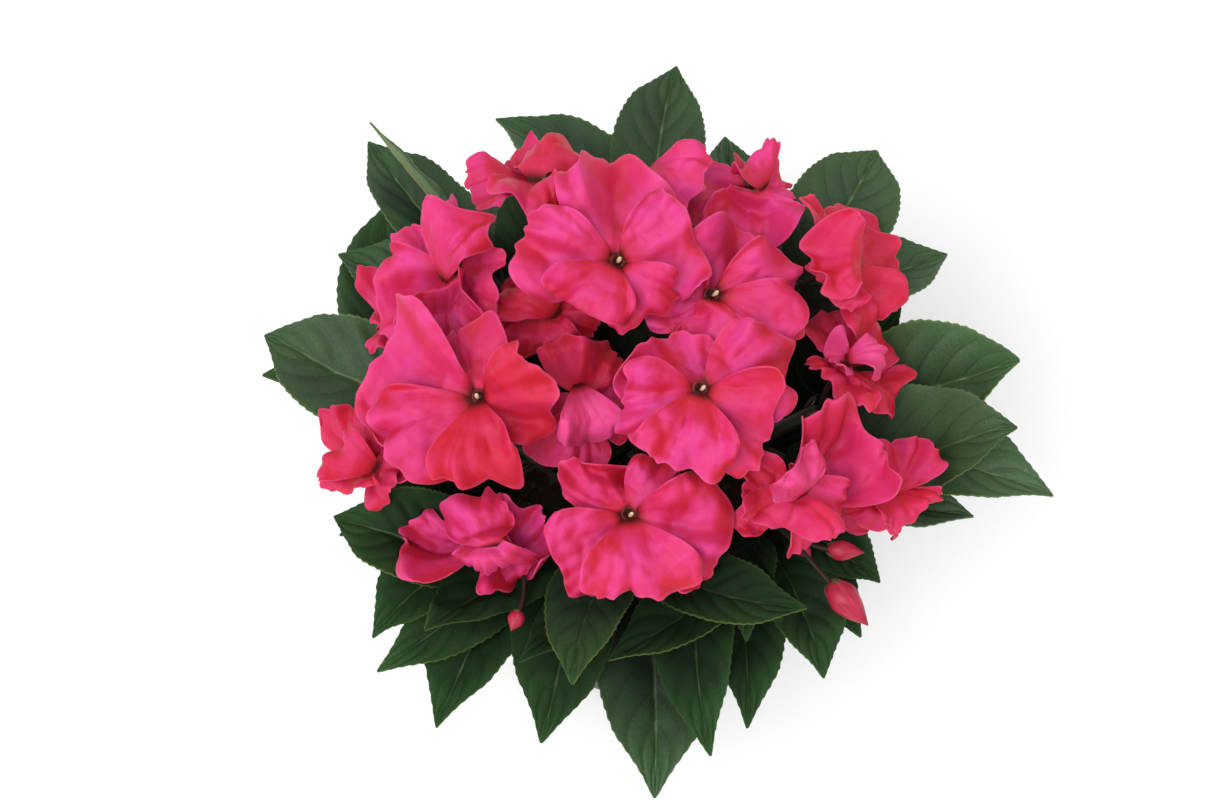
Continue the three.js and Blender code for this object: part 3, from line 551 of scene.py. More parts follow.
def pressed(cover, sheet, thickness, air, step, who, own_share, other_share):
    """How far each point of a sheet has to go down to clear the blades that lie over it."""
    points, flatness, parts = swept(sheet, step)
    everyone, others = cover_at(cover, points[..., 0], points[..., 1], who)
    top = points[..., 2] + (thickness / 2 + air) / flatness
    press = np.maximum((top - everyone) * own_share(points), (top - others) * other_share(points))
    press = np.maximum(press, 0)
    rows, columns = sheet.shape[0] - 1, sheet.shape[1] - 1
    cell = press.reshape(rows, parts + 1, columns, parts + 1).max(axis=(1, 3))
    ringed = np.pad(cell, 1)
    corners = (ringed[:-1, :-1], ringed[:-1, 1:], ringed[1:, :-1], ringed[1:, 1:])
    return np.maximum.reduce(corners)


def add_to(cover, sheet, thickness, step, who):
    points, flatness, _ = swept(sheet, step)
    under = points[..., 2] - thickness / 2 / flatness
    mark(cover, points[..., 0], points[..., 1], under, who)


def beside(ringed):
    """The four neighbours of each point of a field that has a ring of points round it."""
    return ringed[:-2, 1:-1], ringed[2:, 1:-1], ringed[1:-1, :-2], ringed[1:-1, 2:]


broad, fine = new_cover(BROAD_CELL), new_cover(FINE_CELL)


def broad_press(sheet, who, own_share, other_share):
    """Lays the plain form of a blade in the broad cover and gives its presses."""
    limits = (PLAIN_THICKNESS, BROAD_AIR, BROAD_STEP)
    need = pressed(broad, sheet, *limits, who, own_share, other_share)
    eased = np.maximum.reduce([need, *beside(np.pad(need, 1) * CARRY)])
    eased[0] = np.minimum(need[0], ROOT_GIVE)
    laid = sheet.copy()
    laid[..., 2] -= eased
    add_to(broad, laid, PLAIN_THICKNESS, BROAD_STEP, who)
    return eased


def blurred(field, times):
    for _ in range(times):
        above, below, left, right = beside(np.pad(field, 1, mode="edge"))
        field = (2 * field + above + below + left + right) / 6
    return field


def lay(sheet, thickness, who, own_share, other_share):
    """Presses a waved sheet down clear of the finished blades over it, in one soft curve."""
    need = pressed(fine, sheet, thickness, FINE_AIR, FINE_STEP, who, own_share, other_share)
    down = FALL * np.linalg.norm(np.diff(sheet, axis=0), axis=2)
    over = FALL * np.linalg.norm(np.diff(sheet, axis=1), axis=2)
    for _ in range(FALL_ROUNDS):
        need[1:] = np.maximum(need[1:], need[:-1] - down)
        need[:-1] = np.maximum(need[:-1], need[1:] - down)
        need[:, 1:] = np.maximum(need[:, 1:], need[:, :-1] - over)
        need[:, :-1] = np.maximum(need[:, :-1], need[:, 1:] - over)
    root = ramp(np.arange(len(sheet))[:, None], 0, ROOT_ROWS)
    sheet[..., 2] -= blurred(need, FINE_BLURS) * root
    add_to(fine, sheet, thickness, FINE_STEP, who)
    return sheet


def carried(press, rows, at_rows, at_columns):
    """The presses of the plain form, read at every point of the fine one and smoothed."""
    by_row = np.stack([np.interp(at_rows, rows, press[:, k]) for k in range(3)], axis=1)
    read = np.stack([np.interp(at_columns, (-1, 0, 1), line) for line in by_row])
    return blurred(read, PLAIN_BLURS)


def bloom_frame(centre, lean, turn):
    tilt, heading = math.radians(lean), math.radians(turn)
    face = np.array(
        [math.sin(tilt) * math.cos(heading), math.sin(tilt) * math.sin(heading), math.cos(tilt)]
    )
    up = np.array([0, 1, 0]) - face * face[1]
    up /= np.linalg.norm(up)
    right = np.cross(up, face)
    return {"centre": np.array(centre, float), "face": face, "up": up, "right": right}


def placed(flower, x, y, z):
    """Points in the bloom's own frame: x to its right, y up its face, z out of it."""
    x, y, z = (np.asarray(value)[..., None] for value in (x, y, z))
    return flower["centre"] + x * flower["right"] + y * flower["up"] + z * flower["face"]


def on_face(flower, turn, x, y, z):
    """Points of a petal that is drawn pointing up the face, turned to its direction."""
    cos, sin = math.cos(turn), math.sin(turn)
    return placed(flower, x * cos + y * sin, y * cos - x * sin, z)


def dished(r):
    """The dip of the throat and the crown round it: r from the claw to the rim."""
    return -3 * (1 - r) ** 4 + 3.2 * np.sin(1.9 * r)


def petal_height(r, a, seed):
    """Height over the face: r from the claw to the rim, a from -1 to 1 across."""
    reflex = -between(seed, 4, 20) * np.maximum(0, r - 0.5) ** 2
    twist = between(seed + 1, -3, 3) * a * r**1.5
    cup = between(seed + 2, -2.5, 4) * a * a * r**1.5
    ruffle = between(seed + 3, 1.4, 2.8) * r * r * np.sin(4.1 * a + phase(seed + 4))
    return dished(r) + reflex + twist + cup + ruffle


def plain_petal(flower, petal, step, seed):
    """The petal's plain form, four rows of three points, in the way its solid is made."""
    turn, length, width = math.radians(petal[0]), petal[1], petal[2]
    r = np.array(PLAIN_PETAL_ROWS)[:, None]
    a = np.array([-1.0, 0.0, 1.0])[None, :]
    wide = np.sin(math.pi / 2 * np.minimum(1, r / 0.78)) ** 0.85
    past = np.maximum(0, r - 0.78) / 0.22
    x = width / 2 * wide * (1 - 0.3 * past * past) * a
    notch = 0.09 * r**4 * np.maximum(0, 1 - np.abs(a) / 0.4)
    y = length * (r - 0.32 * r**3 * np.abs(a) ** 2.2 - notch)
    return on_face(flower, turn, x, y, step + petal_height(r, a, seed))


def rolled(x, y, z, far, side, radius, most):
    """Rolls up the part of a petal that lies beyond a line far out and turned to a side."""
    heading = math.radians(side)
    beyond = x * math.sin(heading) + y * math.cos(heading) - far
    turn = np.clip(beyond / radius, 0, math.radians(most))
    straight = beyond - radius * turn
    new = radius * np.sin(turn) + straight * np.cos(turn)
    rise = radius * (1 - np.cos(turn)) + straight * np.sin(turn)
    shift = np.where(beyond > 0, new - beyond, 0)
    lift = np.where(beyond > 0, rise, 0)
    return x + shift * math.sin(heading), y + shift * math.cos(heading), z + lift


def creased(x, y, z, offset, side, steepness):
    """Folds a petal along a line through it, into a valley or, where negative, a ridge."""
    heading = math.radians(side)
    away = x * math.cos(heading) - y * math.sin(heading) - offset
    out = ramp(np.hypot(x, y), 3, 14)
    return x, y, z + steepness * (np.sqrt(away * away + 1.0) - 1) * out


def covering(x, y, z, back, lift):
    """Starts a petal on the far side of the throat, so that it lies over it."""
    hump = lift * np.exp(-((np.hypot(x, y - 0.6 * back) / 9) ** 2))
    return x, y - back, z + hump


def folds_out(angle, seed):
    """Folds round a centre, from -1 to 1: soft crests with narrower valleys between them."""
    soft = np.sin(angle + phase(seed))
    puffed = 2 * np.abs(np.sin(0.5 * angle + phase(seed + 1))) ** 0.7 - 1
    return 0.55 * soft + 0.45 * puffed


def crumpled(x, y, size, seed):
    """The relief of a crumpled sheet, from -1 in its creases to 1 on the puffs between them."""
    total = 0
    for k in range(3):
        way = math.pi * (k + chance(seed + k)) / 3
        across = (x * math.cos(way) + y * math.sin(way)) / size
        along = (y * math.cos(way) - x * math.sin(way)) / size
        bent = across + 0.5 * np.sin(1.3 * along + phase(seed + k + 5))
        total = total + np.abs(np.sin(bent + phase(seed + k + 9))) ** 0.75
    return total * 0.9 - 1.6


def petal_plan(length, width, r, a, seed):
    """The plan of a petal: notched, bowed to a side, with lobes and a crimp round its rim.

    Besides x and y it gives the bearing of each point, that bearing unevenly drawn out, and how
    near the rim a point is.
    """
    wide = np.sin(math.pi / 2 * np.minimum(1, r / 0.92)) ** 0.95
    x = width / 2 * wide * ((1 - r * r) * a + r * r * np.sin(math.pi / 2 * a))
    x = x + 1.6 * a * (1 - r) ** 3
    y = CLAW + (length - CLAW) * (0.62 * r + 0.38 * r * r * np.cos(math.pi / 2 * a))
    notch = np.exp(-((a - between(seed + 11, -0.3, 0.3)) / 0.2) ** 2)
    y = y - length * between(seed + 5, 0.03, 0.18) * r**5 * notch
    x = x + width * between(seed + 24, -0.1, 0.1) * r * r
    bearing = np.arctan2(x, y + 0.15 * length)
    edge = np.maximum(r**3, np.abs(a) ** 5 * r)
    bent = bearing + 0.12 * np.sin(5 * bearing + phase(seed + 22))
    lobes = np.sin(7 * bent + phase(seed + 6)) + 0.5 * np.sin(15 * bent + phase(seed + 7))
    crimp = np.sin(31 * bent + phase(seed + 20)) + 0.6 * np.abs(np.sin(27 * bent))
    crimp_size = 0.4 if length > LONG_PETAL else 0.7
    lobes = lobes + crimp_size * crimp * (0.4 + 0.6 * np.sin(3 * bent + seed) ** 2)
    uneven = 1 + between(seed + 12, 0.035, 0.065) * edge * lobes
    return x * uneven * 0.97, y * uneven * 0.97, bearing, bent, edge


def petal_relief(x, y, turn, length, r, a, bearing, bent, edge, seed):
    """The relief of a petal: folds that run on through the bloom, its own, ruffles, puckers."""
    far = np.hypot(x, y)
    around = np.arctan2(x, y) + turn
    bloom = seed // 100 * 100
    shared = 1.7 * folds_out(5 * around, bloom + 90) + 1.5 * folds_out(9 * around, bloom + 93)
    shared = shared * np.minimum(1.3, far / 30) ** 1.3
    own = folds_out(between(seed + 14, 5, 9) * bearing, seed + 8)
    folds = between(seed + 13, 1.2, 2.8) * r**1.4 * own
    frill = np.sin(between(seed + 16, 13, 19) * bent + phase(seed + 9))
    frill = edge * between(seed + 15, 1.2, 2.2) * frill
    broad_ones = crumpled(24 * bearing, 0.7 * far, 4.6, seed + 30) * ramp(far, 4, 14)
    fine_ones = crumpled(26 * bearing, far, 1.9, seed + 50)
    puckers = broad_ones * 0.95 + 0.33 * fine_ones * ramp(far, 7, 16)
    dents = np.sin(0.26 * x + 0.1 * y + phase(seed + 17)) * np.sin(0.24 * y - 0.12 * x + seed)
    turned_down = 0.5 + 0.5 * np.sin(3 * bearing + phase(seed + 19))
    roll = -between(seed + 18, 0, 5.5) * ramp(r, 0.7, 1) ** 2 * turned_down
    at_brim = np.maximum(ramp(r, 0.86, 1), ramp(np.abs(a), 0.85, 1) * ramp(r, 0.3, 0.6))
    brim = 0.9 * np.sin(4.3 * bearing + phase(seed + 21)) * at_brim
    large = length / 30 * (folds + frill + roll + brim)
    relief = shared + large + (dents + puckers) * ramp(far, 5, 12)
    return relief * (1.2 if length > LONG_PETAL else 1.0)


def waved_petal(flower, petal, step, seed, press, forms):
    """The petal as it shows, and how deep in a fold each point of it lies."""
    turn, length, width = math.radians(petal[0]), petal[1], petal[2]
    r = np.linspace(0, 1, PETAL_CELLS[0] + 1)[:, None]
    a = np.linspace(-1, 1, PETAL_CELLS[1] + 1)[None, :]
    out = 0.62 * r + 0.38 * r * r
    x, y, *bearings = petal_plan(length, width, r, a, seed)
    relief = petal_relief(x, y, turn, length, r, a, *bearings, seed)
    own = ramp(r, 0.2, 0.8)
    start = step * (0.3 + 0.7 * ramp(r, 0, 0.4))
    z = start + dished(out) * (1 - own) + petal_height(out, a, seed) * own + relief
    z = z - 1.2 * np.exp(-((np.hypot(x, y) / 4) ** 2))
    for kind, *values in forms:
        x, y, z = kind(x, y, z, *values)
    sheet = on_face(flower, turn, x, y, z)
    sheet[..., 2] -= carried(press, PLAIN_PETAL_ROWS, out[:, 0], a[0])
    return sheet, 0.5 - relief / (7 * (length / 30))


def turned_away(sheet):
    """How far each point of a sheet is turned from the main lamp, from 0 to 1."""
    normal = np.cross(np.gradient(sheet, axis=0), np.gradient(sheet, axis=1))
    normal /= np.maximum(np.linalg.norm(normal, axis=2, keepdims=True), 1e-9)
    return ramp(-np.abs(normal @ KEY_WAY), -0.97, -0.5)


# Lengthwise streaks and a dark foot, which petals and buds share. The pattern follows the
# petal's own map: across, and along from claw to rim.
streaks, _, streaks_out = new_group("petal_streaks", {}, ["Streaks", "Along", "Across"])
apart = node(streaks, "SeparateXYZ", _0=node(streaks, "UVMap").outputs[0])
from_middle = maths(streaks, "SUBTRACT", apart.outputs[0], 0.5)
fan = node(
    streaks, "CombineXYZ", _0=maths(streaks, "MULTIPLY", from_middle, 34.0),
    _1=maths(streaks, "MULTIPLY", apart.outputs[1], 2.6),
)
fibres = node(
    streaks, "TexNoise", Vector=fan.outputs[0], Scale=1.0, Detail=3.0, Distortion=0.3
)
feed(
    streaks, streaks_out, _0=spread_of(streaks, fibres.outputs[0], 0.25, 0.75),
    _1=apart.outputs[1], _2=maths(streaks, "ABSOLUTE", from_middle),
)


def attribute(tree, name):
    return node(tree, "Attribute", {"attribute_name": name}).outputs["Fac"]


# Painted highlights: pale rose on whole petals made paler, and a lighter rose along the rims.
HIGHLIGHT_ROSE, RIM_HIGHLIGHT_ROSE = (0.78, 0.085, 0.30, 1), (0.78, 0.12, 0.3, 1)
CLAW_RED, CLAW_DARK = (0.27, 0.006, 0.01, 1), (0.07, 0.004, 0.005, 1)


def petal_finish(name, deep, light, coral):
    """A petal's skin: streaked and mottled from deep to light, with coral painted into its folds
    and where it turns from the main lamp, as painted shade, and a painted highlight along its rim.

    tone makes a whole petal more coral, partly as painted shade, and paler where it is negative,
    as a painted highlight.
    """
    material, tree, shader = finish_of(
        name, 0.55, 0.25,
        Subsurface_Weight=0.3, Subsurface_Radius=(1.0, 0.12, 0.16), Subsurface_Scale=0.0022,
    )
    lines = node(tree, "Group", {"node_tree": streaks})
    skin = grained(tree, 95.0, 2600.0, 0.3)
    along, tone = lines.outputs["Along"], attribute(tree, "tone")
    blotch = maths(tree, "MULTIPLY_ADD", skin.outputs["Patches"], 0.5, 0.16)
    lit = maths(tree, "MULTIPLY_ADD", lines.outputs["Streaks"], 0.3, blotch)
    # Painted shade: coral deep in the folds and where the petal turns from the main lamp.
    fold_shade = maths(tree, "MULTIPLY_ADD", skin.outputs["Patches"], -0.2, attribute(tree, "hollow"))
    # A painted highlight: a thin lighter line along the petal's rim.
    rim = maths(
        tree, "MAXIMUM", spread_of(tree, along, 0.965, 0.998),
        spread_of(tree, lines.outputs["Across"], 0.477, 0.499),
    )
    colour = tinted(
        tree, mixed(tree, lit, deep, light),
        (fold_shade, 0.16, 0.85, 0.92, coral),
        (tone, 0, 1, 0.7, coral),
        (tone, 0, -0.5, 0.45, HIGHLIGHT_ROSE),
        (rim, 0, 1, 0.3, RIM_HIGHLIGHT_ROSE),
        (along, 0.34, 0.06, 0.8, coral),
        (along, 0.2, 0.09, 0.8, CLAW_RED),
        (along, 0.11, 0.05, 1, CLAW_DARK),
    )
    raised = node(
        tree, "Bump", Strength=0.2, Distance=0.0005, Height=lines.outputs["Streaks"],
        Normal=skin.outputs["Normal"],
    )
    feed(tree, shader, Base_Color=colour, Normal=raised.outputs[0])
    return material


petal_skin = petal_finish(
    "petal_pink", (0.60, 0.019, 0.095, 1), (0.66, 0.046, 0.27, 1), (0.52, 0.010, 0.025, 1)
)
petal_back = petal_finish(
    "petal_back", (0.62, 0.022, 0.09, 1), (0.70, 0.05, 0.22, 1), (0.55, 0.014, 0.036, 1)
)
throat_skin = mottled(
    "throat_crimson", 0.6, 0.3, (600.0, 3000.0, 0.3),
    (0.05, 0.005, 0.004, 1), (0.18, 0.022, 0.016, 1),
)
spur_skin = mottled(
    "spur_pink", 0.45, 0.4, (260.0, 2600.0, 0.3), (0.55, 0.03, 0.09, 1), (0.8, 0.16, 0.22, 1)
)


def thin_blade(sheet, thickness, top, under, **shades):
    """A closed thin blade from a grid of points, with a finish for each face."""
    rows, columns = sheet.shape[:2]
    bpy.ops.mesh.primitive_grid_add(x_subdivisions=columns - 1, y_subdivisions=rows - 1, size=1)
    made = bpy.context.object
    made.data.vertices.foreach_set("co", (sheet * MM).astype(np.float32).ravel())
    for title, values in shades.items():
        shade = made.data.attributes.new(title, "FLOAT", "POINT")
        spread = np.broadcast_to(values, (rows, columns)).astype(np.float32)
        shade.data.foreach_set("value", spread.ravel())
    made.data.materials.append(top)
    made.data.materials.append(under)
    wall = made.modifiers.new("thickness", "SOLIDIFY")
    wall.thickness = thickness * MM
    wall.offset = 0
    wall.material_offset = 1
    bpy.ops.object.modifier_apply(modifier=wall.name)
    bpy.ops.object.shade_smooth_by_angle(angle=math.radians(60))
    return made


def rod(points, radii, material, rounds=3):
    """A round rod through points, in millimetres, with a radius at each."""
    bpy.ops.curve.primitive_bezier_curve_add()
    line = bpy.context.object
    line.data.bevel_depth = MM
    line.data.bevel_resolution = rounds
    line.data.resolution_u = 4
    line.data.use_fill_caps = True
    spline = line.data.splines[0]
    spline.bezier_points.add(len(points) - 2)
    for knot, point, radius in zip(spline.bezier_points, points, radii):
        knot.co = Vector(point) * MM
        knot.radius = radius
        knot.handle_left_type = knot.handle_right_type = "AUTO"
    bpy.ops.object.convert(target="MESH")
    line = bpy.context.object
    line.data.materials.append(material)
    bpy.ops.object.shade_smooth()
    return line


def throat_cup(flower):
    """The hollow funnel between the petals, closed behind by the foot of the flower."""
    radius, height = CUP_PROFILE[0]
    bpy.ops.mesh.primitive_circle_add(vertices=CUP_SIDES, radius=radius * MM, fill_type="NOTHING")
    cup = bpy.context.object
    bpy.ops.object.mode_set(mode="EDIT")
    bpy.ops.mesh.select_all(action="SELECT")
    bpy.ops.transform.translate(value=(0, 0, height * MM))
    turned_up((*CUP_PROFILE[1:], CUP_PROFILE[0]), radius, height)
    bpy.ops.mesh.select_all(action="SELECT")
    bpy.ops.mesh.remove_doubles(threshold=0.01 * MM)
    bpy.ops.mesh.normals_make_consistent(inside=False)
    bpy.ops.object.mode_set(mode="OBJECT")
    for vertex in cup.data.vertices:
        vertex.co = Vector(placed(flower, *(vertex.co / MM))) * MM
    cup.data.materials.append(throat_skin)
    bpy.ops.object.shade_smooth()
    return cup


def spur(flower, who):
    """The thin curved spur behind a bloom, bent down clear of the petals over it."""
    bend = [placed(flower, 0, *point) for point in SPUR_BEND]
    for spot in bend:
        spot[2] = min(spot[2], cover_at(fine, spot[0], spot[1], who)[0] - SPUR_ROOM)
        round_it = (spot[0] + np.array([-1, 0, 1]), spot[1] + np.array([0, 1, -1]))
        mark(fine, *round_it, np.full(3, spot[2] - 1), who)
    return rod(bend, SPUR_RADII, spur_skin)


def away_from(middle, low, high):
    """A share for points: 0 nearer to the middle than low, 1 farther from it than high."""
    return lambda points: ramp(np.linalg.norm(points - middle, axis=-1), low, high)


# Folds of single petals, by bloom and place in its list: creased by offset from the petal's
# middle line, turn and steepness; rolled by distance, turn, radius and most degrees; covering
# by distance back and lift. In half-open blooms the topmost petal arches over the throat.
FORMS = {
    (1, 0): ((creased, 3, 0, 0.4), (rolled, 24, -15, 5, 70)),
    (1, 1): ((creased, 5, 5, -0.5),),
    (1, 3): ((creased, -4, 10, 0.5), (rolled, 22, -10, 4, 80)),
    (1, 4): ((creased, 4, -8, 0.4),),
    (2, 1): ((creased, 3, 10, -0.35),),
    (2, 2): ((creased, -4, 5, 0.3),),
    (2, 4): ((rolled, 17, 0, 4, 80),),
    (3, 0): ((creased, -4, 8, 0.5),),
    (3, 1): ((creased, 4, 0, 0.3),),
    (3, 4): ((rolled, 16, 10, 4, 90),),
    (4, 0): ((creased, -1, 0, -1.1),),
    (4, 1): ((creased, -6, 20, 0.5),),
    (4, 2): ((creased, 3, 12, 0.7), (creased, -6, -8, -0.5)),
    (4, 4): ((creased, -7, -4, 0.5),),
    (5, 0): ((rolled, 19, 25, 4, 80),),
    (5, 2): ((creased, 5, -5, 0.4),),
    (5, 3): ((rolled, 24, 10, 4, 90),),
    (5, 4): ((creased, -5, 0, 0.35),),
    (6, 0): ((creased, 4, 0, 0.4), (creased, -8, 6, 0.3)),
    (6, 3): ((creased, 3, 5, 0.5), (creased, -8, -5, -0.4)),
    (6, 4): ((creased, 4, 0, 0.5), (rolled, 15, -12, 5, 130), (covering, 8, 3)),
    (7, 1): ((creased, 0, 0, -0.7),),
    (7, 3): ((creased, 2, 0, 0.6),),
    (7, 4): ((creased, 0, 8, 0.7), (covering, 7, 3)),
    (8, 1): ((creased, 1, 0, 0.6),),
    (8, 3): ((creased, 3, 5, 0.5),),
    (8, 4): ((creased, -2, 10, 0.6), (covering, 7, 3)),
    (9, 1): ((creased, 0, 15, -0.6),),
    (9, 3): ((creased, 0, 0, 0.7),),
    (9, 4): ((creased, 2, 0, -0.8), (covering, 7, 3)),
    (10, 4): ((creased, 2, 5, 0.5), (covering, 6, 2)),
    (11, 3): ((creased, 0, 10, 0.6),),
    (11, 4): ((creased, 1, 0, 0.4), (covering, 6, 2)),
    (12, 1): ((creased, 0, 0, -0.8),),
    (12, 3): ((creased, -3, 0, -0.8),),
    (12, 4): ((creased, -3, 10, 0.5), (covering, 7, 3)),
    (13, 4): ((creased, 2, 0, 0.6), (covering, 7, 3)),
    (14, 0): ((creased, 0, 0, 0.7),),
    (14, 1): ((creased, 1, -10, 0.7),),
    (14, 2): ((creased, 0, 10, 0.8),),
    (14, 3): ((creased, 0, 0, -0.9),),
    (14, 4): ((creased, 0, 0, -0.9), (covering, 8, 3)),
    (15, 2): ((creased, 0, 0, -0.4), (covering, 3, 1)),
    (15, 3): ((creased, 0, 0, 0.4), (covering, 2, 0.5)),
    (15, 4): ((creased, 0, 0, 0.4), (covering, 3, 1)),
    (16, 3): ((creased, 2, 8, 0.6),),
    (16, 4): ((creased, 0, 0, 0.7), (covering, 7, 3)),
    (17, 3): ((creased, 0, 5, 0.6),),
    (17, 4): ((creased, 4, 0, 0.4), (covering, 8, 3)),
    (18, 3): ((creased, 1, 0, -0.7),),
    (18, 4): ((creased, 0, 0, 0.6), (covering, 7, 3)),
}

# How much more coral each bloom is made, as painted shade where it lies under other blooms or is
# turned from the main lamp; where negative it is made paler, as a painted highlight.
BLOOM_PAINTED_LIGHT = {
    2: -0.2, 3: -0.25, 6: 0.5, 7: 0.75, 8: 0.1, 9: 0.3, 10: -0.2, 11: -0.2, 12: 0.5, 13: 1.0,
    14: -0.15, 15: 0.8, 16: 0.7, 17: 0.55, 18: 0.4,
}
# The same for single petals, by bloom and place in its list.
PETAL_PAINTED_LIGHT = {
    (1, 3): 0.4, (2, 3): 0.5, (2, 4): 0.4, (3, 3): 0.5, (4, 0): 0.5, (4, 2): 1.0, (4, 4): 0.95,
    (5, 0): 0.25, (5, 1): 0.15, (6, 1): 0.3, (6, 4): -0.9, (8, 2): 0.4, (9, 0): 0.3, (9, 4): 0.3,
    (12, 3): 0.4, (12, 4): -1.2, (15, 3): -1.4, (15, 4): -1.4,
}

flowers = []
for who, (centre, lean, turn, stem_name, petals) in enumerate(BLOOMS):
    number = who + 1
    flower = bloom_frame(centre, lean, turn)
    middle = flower["centre"]
    # The whole bloom goes down until its throat is clear of the petals over it.
    x, y = np.meshgrid(middle[0] + THROAT_SPOTS, middle[1] + THROAT_SPOTS)
    _, over = cover_at(broad, x, y, who)
    middle[2] -= max(0, (middle[2] + THROAT_ROOM - over).max())

    # Each petal goes under those over it, but gives less the nearer it is to the throat.
    parts = []
    for k in (4, 3, 2, 1, 0):
        seed = 100 * number + 17 * k
        plain = plain_petal(flower, petals[k], PETAL_STEP[k], seed)
        press = broad_press(plain, who, away_from(middle, 3, 5), away_from(middle, 5, 6))
        forms = FORMS.get((number, k), ())
        sheet, fold_shade = waved_petal(flower, petals[k], PETAL_STEP[k], seed, press, forms)
        shares = (away_from(middle, 4, 9), away_from(middle, 5, 8))
        sheet = lay(sheet, PETAL_THICKNESS, who, *shares)
        # The painted shade of each point: how deep in a fold it lies, and how far it turns from the
        # main lamp.
        hollow = np.clip(0.55 * fold_shade + 0.6 * turned_away(sheet), 0, 1)
        # Painted light: coral as painted shade, pale rose as a painted highlight where the sum is
        # negative; the last part varies at random.
        tone = BLOOM_PAINTED_LIGHT.get(number, 0) + PETAL_PAINTED_LIGHT.get((number, k), 0) + 0.2 * chance(seed + 10)
        parts.append(
            thin_blade(sheet, PETAL_THICKNESS, petal_skin, petal_back, tone=tone, hollow=hollow)
        )
    if who >= OPEN_THROATS:
        flower["centre"] = flower["centre"] - (0, 0, HIDDEN_THROAT_DROP)
    parts += [throat_cup(flower), spur(flower, who)]
    bloom = joined(f"bloom_{number:02d}_petals", parts)
    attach(bloom, "root")
    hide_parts(f"bloom_{number:02d}")
    flowers.append((flower, stem_name))

# ---------------------------------------------------------------- pollen caps
# In each throat stands the fused cap of the stamens: a blunt little column, cream, leaning over
# the mouth of the throat. Its foot is painted brown, as painted shade down in the throat.

CAP_RADIUS = 0.95
CAP_LENGTH, CAP_FOOT = 4.2, -3.6
HIDDEN_CAP_LENGTH, HIDDEN_CAP_FOOT = 3.15, -7.6
CAP_MEAL, CAP_CREAM, CAP_FOOT_SHADE = (0.5, 0.36, 0.18, 1), (0.8, 0.68, 0.45, 1), (0.25, 0.05, 0.02, 1)

cap_skin, tree, shader = finish_of("cap_cream", 0.5, 0.4)
meal = grained(tree, 900.0, 3500.0, 0.6)
up_cap = node(tree, "SeparateXYZ", _0=node(tree, "UVMap").outputs[0]).outputs[1]
cream = mixed(tree, meal.outputs["Patches"], CAP_MEAL, CAP_CREAM)
# Painted shade: brown toward the foot, where the cap sinks into the throat.
colour = tinted(tree, cream, (up_cap, 0.7, 0.25, 1, CAP_FOOT_SHADE))
feed(tree, shader, Base_Color=colour, Normal=meal.outputs["Normal"])

for number, (flower, _) in enumerate(flowers, 1):
    bpy.ops.mesh.primitive_uv_sphere_add(segments=14, ring_count=10, radius=1)
    cap = bpy.context.object
    is_open = number <= OPEN_THROATS
    length = CAP_LENGTH if is_open else HIDDEN_CAP_LENGTH
    foot = CAP_FOOT if is_open else HIDDEN_CAP_FOOT
    for vertex in cap.data.vertices:
        up = (vertex.co.z + 1) / 2
        swell = CAP_RADIUS * (0.62 + 0.5 * up * up)
        x, y = vertex.co.x * swell + 1.0 * up, vertex.co.y * swell * 0.9 + 1.4 * up * up - 0.6
        vertex.co = Vector(placed(flower, x, y, length * up + foot)) * MM
    cap.name = f"bloom_{number:02d}_cap"
    cap.data.materials.append(cap_skin)
    bpy.ops.object.shade_smooth()
    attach(cap, "root")
    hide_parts(f"pollen_cap_{number:02d}")

# ---------------------------------------------------------------- buds
# Closed flowers on dark stalks at the front. Each is a pointed drop of petals wound round each
# other, deep rose, darker at the tip, held at its foot by two small green sepals.

# Foot, the way it points, length, greatest radius, and the stem that carries it.
BUDS = [
    ((62.5, -61, 154.5), (0.66, -0.72, -0.2), 20, 5.5, "front_right"),
    ((62, -49, 155), (0.98, -0.1, 0), 13, 3.6, "front_right"),
    ((53, -46, 153), (0.5, -0.8, -0.1), 7, 2.4, "front_right"),
    ((-43, -73, 158), (-0.3, -0.8, 0.1), 8, 3, "front_left"),
]
BUD_OWNER = 50
BUD_DEEP, BUD_ROSE = (0.24, 0.004, 0.016, 1), (0.52, 0.015, 0.07, 1)
BUD_TIP, BUD_FOOT = (0.25, 0.006, 0.015, 1), (0.35, 0.03, 0.03, 1)
SEAM_TURN = 2 * math.pi / 3  # three petals are wound round each other
SEPAL_LENGTH = 0.34  # as a share of the bud's

bud_skin, tree, shader = finish_of("bud_rose", 0.45, 0.4)
wound = node(tree, "Group", {"node_tree": streaks})
rose = mixed(tree, wound.outputs["Streaks"], BUD_DEEP, BUD_ROSE)
along = wound.outputs["Along"]
rose = tinted(tree, rose, (along, 0.75, 1.0, 0.8, BUD_TIP), (along, 0.25, 0.0, 0.7, BUD_FOOT))
skin = grained(tree, 200.0, 2600.0, 0.25)
feed(tree, shader, Base_Color=rose, Normal=skin.outputs["Normal"])
sepal_skin = mottled(
    "sepal_green", 0.45, 0.4, (250.0, 2000.0, 0.3), (0.05, 0.11, 0.03, 1), (0.2, 0.05, 0.04, 1)
)

